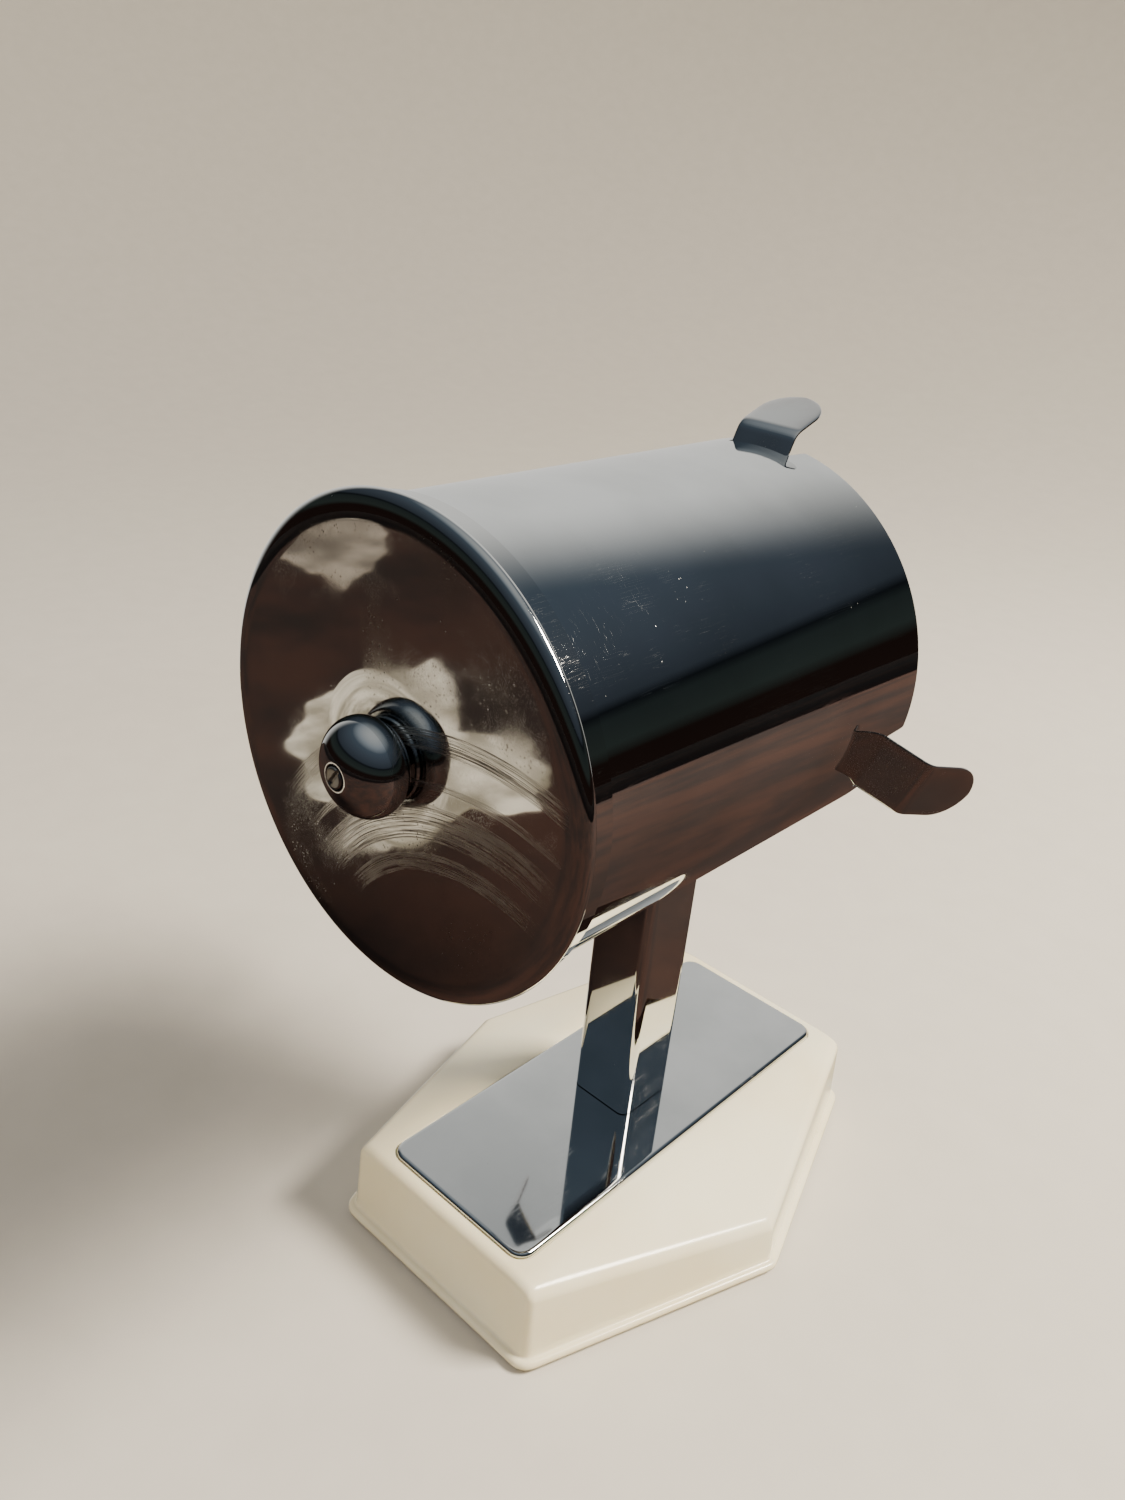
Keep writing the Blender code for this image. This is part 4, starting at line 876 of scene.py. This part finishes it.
# ============================================================ finger tabs
# Three bent strips of sheet brass, chromium plated, soldered inside the sleeve's front
# edge. They stand out through the drum's notches: fingers pull the mirror out by them.
TAB_THICKNESS = 0.0010
TAB_HALF_WIDTH = 0.0091
TAB_FOOT_HALF_WIDTH = 0.0050
TAB_FOOT_LENGTH = 0.0080
TAB_TURN = 0.0010
TAB_RISE = 0.0045
TAB_TIP_LENGTH = 0.0165
TAB_BENDS = {"top": (0.0592, 0.0653), "right": (0.0675, 0.0758), "left": (0.0675, 0.0758)}


def eased_path(corners, ease, steps=8):
    """A bent line with each inner corner eased by a parabola between its two sides."""
    points = [corners[:1]]
    part = np.linspace(0, 1, steps)[:, None]
    for before, here, after in zip(corners[:-2], corners[1:-1], corners[2:]):
        start = here + (before - here) * min(ease / np.linalg.norm(before - here), 0.45)
        end = here + (after - here) * min(ease / np.linalg.norm(after - here), 0.45)
        points.append(start * (1 - part) ** 2 + 2 * here * part * (1 - part) + end * part**2)
    return np.vstack(points + [corners[-1:]])


def make_tab(side, angle):
    """A strip carried along its bent line: a rounded oblong section, narrowed at the
    foot, and drawn in to an ellipse's end at the tip."""
    bend, tip = TAB_BENDS[side]
    inner = sleeve_radius - SLEEVE_WALL - 0.0003
    foot = math.sqrt((inner + 0.0003) ** 2 - TAB_FOOT_HALF_WIDTH**2) - 0.0003 - TAB_THICKNESS / 2
    turn_at = -sleeve_low.y + TAB_TURN
    corners = np.array(
        [
            [foot, turn_at - TAB_FOOT_LENGTH],
            [foot, turn_at],
            [bend, turn_at + TAB_RISE],
            [tip, turn_at + TAB_RISE + TAB_TIP_LENGTH],
        ]
    )
    line = eased_path(corners, 0.0022)
    lengths = np.concatenate([[0], np.cumsum(np.linalg.norm(np.diff(line, axis=0), axis=1))])
    total = lengths[-1]
    end = total - TAB_HALF_WIDTH * (1 - np.sin(np.linspace(0, np.pi / 2, 16)))
    along = np.unique(np.concatenate([np.linspace(0, end[0], 46), lengths[lengths < end[0]], end]).round(7))
    path = np.stack([np.interp(along, lengths, line[:, k]) for k in (0, 1)], axis=1)
    tangent = np.gradient(path, along, axis=0)
    tangent /= np.linalg.norm(tangent, axis=1)[:, None]
    normal = np.stack([tangent[:, 1], -tangent[:, 0]], axis=1)
    to_tip = np.clip((total - along) / TAB_HALF_WIDTH, 0, 1)
    width = TAB_HALF_WIDTH * np.sqrt(np.maximum(1 - (1 - to_tip) ** 2, 0.0004))
    neck = 1 / (1 + np.exp(-(along - TAB_FOOT_LENGTH - 0.0016) / 0.0003))
    width = np.minimum(width, TAB_FOOT_HALF_WIDTH + (TAB_HALF_WIDTH - TAB_FOOT_HALF_WIDTH) * neck)
    turns = np.linspace(0, 2 * np.pi, 48, endpoint=False)
    edge = TAB_THICKNESS / 2
    flat = np.maximum(width - edge, 0.0)[:, None]
    run = np.sign(np.sin(turns)) * np.abs(np.sin(turns)) ** 0.6
    across = flat * run + np.minimum(width, edge)[:, None] * np.sin(turns)
    layer = edge * np.sign(np.cos(turns)) * np.abs(np.cos(turns)) ** 0.35
    radius = path[:, 0, None] + normal[:, 0, None] * layer
    forward = path[:, 1, None] + normal[:, 1, None] * layer
    x = radius * math.cos(angle) - across * math.sin(angle)
    z = axis_height + radius * math.sin(angle) + across * math.cos(angle)
    rows = np.stack([x, -forward, z], axis=2)
    first = np.broadcast_to(rows[0].mean(axis=0), rows[0].shape)
    last = np.broadcast_to(rows[-1].mean(axis=0), rows[0].shape)
    return skin(f"bent_tab_{side}", np.concatenate([first[None], rows, last[None]]), 50.0)


# The tabs' chrome is tinted darker and warmer than the other chrome: painted shade standing in for the dark
# room that the tabs reflect.
tab_chrome_painted_dark = chrome("tab_chrome_painted_dark", "#BDB6B4", 0.05, 0.3, 1.0)
for side, angle in zip(("top", "right", "left"), tab_angles):
    fit(make_tab(side, angle), f"finger_tab_{side}", "carriage", tab_chrome_painted_dark)


# ============================================================ mirror
# A shallow pressed pan holds a fibre card and a silvered glass, kept in by a sprung
# bezel. The pan tilts on two short pins in the sleeve, held by a washer on each.
pan_low, pan_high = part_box("mirror_pan")
glass_low, glass_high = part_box("mirror_glass")
bezel_low, bezel_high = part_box("bezel_ring")
PAN_WALL = 0.0016
PAN_BACK = 0.0010
GLASS_BEVEL = 0.0008


def pan_outline():
    outer = (pan_high.x - pan_low.x) / 2
    back, rim = pan_high.y, pan_low.y
    corners = [(0.0, back, 0), (outer, back, 0.0012), (outer, rim, 0.0005), (outer - PAN_WALL, rim, 0.0004)]
    corners += [(outer - PAN_WALL, back - PAN_BACK, 0.0003), (0.0, back - PAN_BACK, 0)]
    return filleted(corners)


def glass_outline():
    """A disc with a ground bevel round its front face."""
    outer = (glass_high.x - glass_low.x) / 2
    back, front = glass_high.y, glass_low.y
    return np.array(
        [[0.0, back], [outer, back], [outer, front + GLASS_BEVEL], [outer - GLASS_BEVEL, front], [0.0, front]]
    )


def bezel_outline():
    outer = (bezel_high.x - bezel_low.x) / 2
    back, front = bezel_high.y, bezel_low.y
    inner = outer - 0.0019
    corners = [(inner, back, 0.0002), (outer, back, 0.0002), (outer, front, 0.0005), (inner, front, 0.0005)]
    return filleted(corners)


def silvered_glass():
    """Silvered glass: bright and faintly green, a little dust, grey foxing at its edge."""
    made, tree, shader, place = start_material("silvered_glass")
    parts = add_node(tree, "ShaderNodeSeparateXYZ", {"Vector": place}).outputs
    rise = maths(tree, "SUBTRACT", parts["Z"], axis_height)
    reach = distance(tree, parts["X"], rise)
    ragged = maths(tree, "MULTIPLY_ADD", noise(tree, place, 170.0, 5.0, 0.65), 0.006, reach)
    foxed = between(tree, ragged, 0.0478, 0.0492)
    smear = noise(tree, stretched(tree, place, (40.0, 1.0, 14.0), (0.0, 0.5, 0.0)), 1.0, 4.0)
    base = tinted(tree, foxed, "#E9EEEC", "#5B564C")
    wiped = maths(tree, "MULTIPLY_ADD", between(tree, smear, 0.5, 0.7), 0.03, 0.012)
    feed(tree, shader, base, maths(tree, "MULTIPLY_ADD", foxed, 0.4, wiped), 1.0)
    return made


def fibre_card():
    """Grey-brown pressed card with flecks of fibre."""
    made, tree, shader, place = start_material("fibre_card")
    flecks = noise(tree, stretched(tree, place, (900.0, 200.0, 400.0)), 1.0, 5.0, 0.7)
    base = tinted(tree, between(tree, flecks, 0.35, 0.7), "#6B5238", "#9B8160")
    tree.links.new(base, shader.inputs["Base Color"])
    shader.inputs["Roughness"].default_value = 0.9
    raise_bumps(tree, shader, flecks, 0.0002, 0.6)
    return made


pan_chrome = chrome("pan_chrome", "#DADCDD", 0.04, 0.2, 0.5)
fit(turned("pressed_pan", pan_outline(), axis_height, 200), "mirror_pan", "mirror", pan_chrome)
dress("mirror_backing", fibre_card())
glass = turned("bevelled_glass", glass_outline(), axis_height, 200)
fit(glass, "mirror_glass", "mirror", silvered_glass())
fit(turned("sprung_bezel", bezel_outline(), axis_height, 200), "bezel_ring", "mirror", pan_chrome)
for side in ("left", "right"):
    dress(f"pivot_pin_{side}", zinc)
    dress(f"tilt_washer_{side}", brass)


# ============================================================ table, light and camera
# A plain pale table under soft studio light. One dark card and two pale ones, and a dark
# room all round, are there only in what the chromium shows.
TABLE_BEND = 0.7
TABLE_REACH = 3.6


def make_table():
    """A level sheet that curves up all round, with no edge to be seen.

    The rise is the cube of the distance past the bend, so that slope and curve start
    from nothing.
    """
    turns = np.linspace(0, 2 * np.pi, 96, endpoint=False)
    reach = np.concatenate([[0.0, 0.4], np.linspace(TABLE_BEND, TABLE_REACH, 40)])
    height = 0.30 * np.maximum(reach - TABLE_BEND, 0.0) ** 3
    x, y = reach[:, None] * np.cos(turns), reach[:, None] * np.sin(turns)
    top = np.stack([x, y, np.broadcast_to(height[:, None], x.shape)], axis=2)
    return skin("table", np.concatenate([top, (top - [0.0, 0.0, 0.02])[::-1]]))


def pale_paint():
    """Matt pale paint, faintly mottled."""
    made, tree, shader, place = start_material("pale_table")
    grain = noise(tree, place, 60.0, 4.0)
    base = tinted(tree, grain, "#CFCAC0", "#D8D3C9")
    tree.links.new(base, shader.inputs["Base Color"])
    shader.inputs["Roughness"].default_value = 0.7
    return made


def cloth(name, dark, light, scale):
    """Dull cloth: two tones mixed by a soft mottle."""
    made, tree, shader, place = start_material(name)
    mottle = noise(tree, place, scale, 5.0, 0.6)
    base = tinted(tree, between(tree, mottle, 0.36, 0.64), dark, light)
    tree.links.new(base, shader.inputs["Base Color"])
    shader.inputs["Roughness"].default_value = 0.95
    return made


def reflected_card(name, grid, surface):
    """A thin closed card that only shiny things can see."""
    card = skin(name, grid, 20.0)
    card.data.materials.append(surface)
    card.visible_camera = False
    card.visible_shadow = False
    card.visible_diffuse = False


def flat_card(outline, height):
    """Rings from the outline's middle, over its top, round its edge and underneath.

    The edge is made uneven: each point moves out by the sum of three sines of its
    place along the edge.
    """
    outline = dense(np.array(outline), 0.004)
    along = 2 * np.pi * np.arange(len(outline)) / len(outline)
    uneven = 1 + 0.05 * np.sin(5 * along) + 0.04 * np.sin(11 * along + 1) + 0.02 * np.sin(23 * along)
    outline = outline.mean(axis=0) + (outline - outline.mean(axis=0)) * uneven[:, None]
    middle = np.broadcast_to(outline.mean(axis=0), outline.shape)
    levels = ((middle, height), (outline, height), (outline, height - 0.0008), (middle, height - 0.0008))
    return np.stack([np.column_stack([points, np.full(len(points), z)]) for points, z in levels])


table = make_table()
table.data.materials.append(pale_paint())
table.visible_glossy = False
TO_WALL = (0.65, -0.76)  # from the middle of the table towards the pale wall
RING_SIDES = 96
RING_INSIDE = 0.098
RING_OUTSIDE = 1.6
RING_CUT_BACK = 1.15  # how much less it reaches on the wall's side
RING_TOP = 0.0012
RING_UNDERSIDE = 0.0004


def make_dark_ring():
    """Four rings: top and underside, inner and outer edge; the outer comes in by the wall."""
    turns = np.linspace(0, 2 * np.pi, RING_SIDES, endpoint=False)
    around = np.stack([np.cos(turns), np.sin(turns)], axis=1)
    cut_back = RING_CUT_BACK * np.clip((around @ TO_WALL - 0.3) / 0.4, 0, 1)
    near, far = around * RING_INSIDE, around * (RING_OUTSIDE - cut_back)[:, None]
    levels = ((near, RING_TOP), (far, RING_TOP), (far, RING_UNDERSIDE), (near, RING_UNDERSIDE))
    return np.stack([np.column_stack([edge, np.full(RING_SIDES, z)]) for edge, z in levels])


reflected_card("dark_card", make_dark_ring(), cloth("dark_cloth", "#1C0D08", "#331A10", 9.0))
pale_cloth = cloth("pale_cloth", "#86806F", "#E4DED0", 22.0)
brown_cloth = cloth("brown_cloth", "#5E564C", "#B0A596", 14.0)
PALE_BY_KNOB = [
    (0.188, 0.262), (0.200, 0.327), (0.174, 0.355), (0.201, 0.390), (0.238, 0.401), (0.268, 0.382),
    (0.316, 0.422), (0.350, 0.432), (0.364, 0.368), (0.314, 0.299), (0.269, 0.274), (0.233, 0.279),
    (0.209, 0.256),
]
PALE_ABOVE = [(0.574, 0.480), (0.655, 0.553), (0.689, 0.621), (0.622, 0.612), (0.534, 0.546), (0.497, 0.474)]
reflected_card("pale_card_by_knob", flat_card(PALE_BY_KNOB[::-1], 0.0030), pale_cloth)
reflected_card("pale_card_above", flat_card(PALE_ABOVE[::-1], 0.0030), brown_cloth)


def soft_light(name, place, aim, size, power, colour):
    """A square soft box, turned to face the given point."""
    lamp = bpy.data.lights.new(name, "AREA")
    lamp.shape = "SQUARE"
    lamp.size = size
    lamp.energy = power
    lamp.color = linear(colour)[:3]
    holder = bpy.data.objects.new(name, lamp)
    bpy.context.scene.collection.objects.link(holder)
    away = np.array(place) - np.array(aim)
    turn = math.atan2(away[0], -away[1])
    tip = math.atan2(math.hypot(away[0], away[1]), away[2])
    holder.location = place
    holder.rotation_euler = (tip, 0.0, turn)
    return holder


soft_light("key", (-0.75, -0.55, 1.15), (0.0, 0.0, 0.1), 0.45, 52.0, "#FFF3E2")
fill = soft_light("fill", (0.9, 0.9, 1.0), (0.0, 0.0, 0.1), 1.2, 6.0, "#E8EEFF")
fill.visible_glossy = False


def dark_room():
    """What the metal sees, by direction: a dark room that pales overhead, and a pale wall
    on one side of it. Plain things, and the view itself, see one plain pale tone.

    The wall's share rises smoothly with how far the direction points towards it.
    """
    world = bpy.data.worlds.new("studio")
    world.use_nodes = True
    bpy.context.scene.world = world
    tree = world.node_tree
    backdrop = tree.nodes["Background"]
    direction = add_node(tree, "ShaderNodeTexCoord").outputs["Generated"]
    parts = add_node(tree, "ShaderNodeSeparateXYZ", {"Vector": direction}).outputs
    rise = parts["Z"]
    sideways = maths(tree, "MULTIPLY", parts["Y"], TO_WALL[1])
    toward = maths(tree, "MULTIPLY_ADD", parts["X"], TO_WALL[0], sideways)
    ramp = add_node(tree, "ShaderNodeValToRGB", {"Fac": maths(tree, "MULTIPLY_ADD", rise, 0.5, 0.5)})
    stops = ((0.0, "#2A1D18"), (0.495, "#1C1310"), (0.505, "#21211E"), (0.53, "#2B312E"), (0.60, "#252B2A"))
    stops += ((0.625, "#14171A"), (0.65, "#333940"), (0.78, "#434B54"), (0.86, "#4A555F"), (0.93, "#8E959A"))
    stops += ((1.0, "#B4B6B4"),)
    ramp.color_ramp.elements[0].position = stops[0][0]
    ramp.color_ramp.elements[0].color = linear(stops[0][1])
    ramp.color_ramp.elements[1].position = stops[-1][0]
    ramp.color_ramp.elements[1].color = linear(stops[-1][1])
    for position, colour in stops[1:-1]:
        ramp.color_ramp.elements.new(position).color = linear(colour)
    wall = between(tree, toward, 0.46, 0.86)
    room = tinted(tree, wall, ramp.outputs["Color"], "#F6F4EE")
    shiny = add_node(tree, "ShaderNodeLightPath").outputs["Is Glossy Ray"]
    tree.links.new(tinted(tree, shiny, "#DAD5CA", room), backdrop.inputs["Color"])
    backdrop.inputs["Strength"].default_value = 1.0


dark_room()


def set_camera():
    """From above and behind the lid, looking down past it; the view is rolled a little."""
    camera = bpy.data.cameras.new("camera")
    camera.sensor_fit = "VERTICAL"
    camera.sensor_height = 36.0
    camera.lens = 28.96
    camera.clip_start = 0.01
    holder = bpy.data.objects.new("camera", camera)
    bpy.context.scene.collection.objects.link(holder)
    azimuth, elevation, roll = np.radians([220.67, 26.48, 5.65])
    level = [math.sin(azimuth) * math.cos(elevation), -math.cos(azimuth) * math.cos(elevation)]
    back = np.array([*level, math.sin(elevation)])
    right = np.cross([0.0, 0.0, 1.0], back)
    right /= np.linalg.norm(right)
    up = np.cross(back, right)
    rolled_right = math.cos(roll) * right + math.sin(roll) * up
    rolled_up = -math.sin(roll) * right + math.cos(roll) * up
    place = np.eye(4)
    place[:3] = np.stack([rolled_right, rolled_up, back, [-0.1784, 0.2531, 0.3037]], axis=1)
    holder.matrix_world = place.T.tolist()
    bpy.context.scene.camera = holder


set_camera()
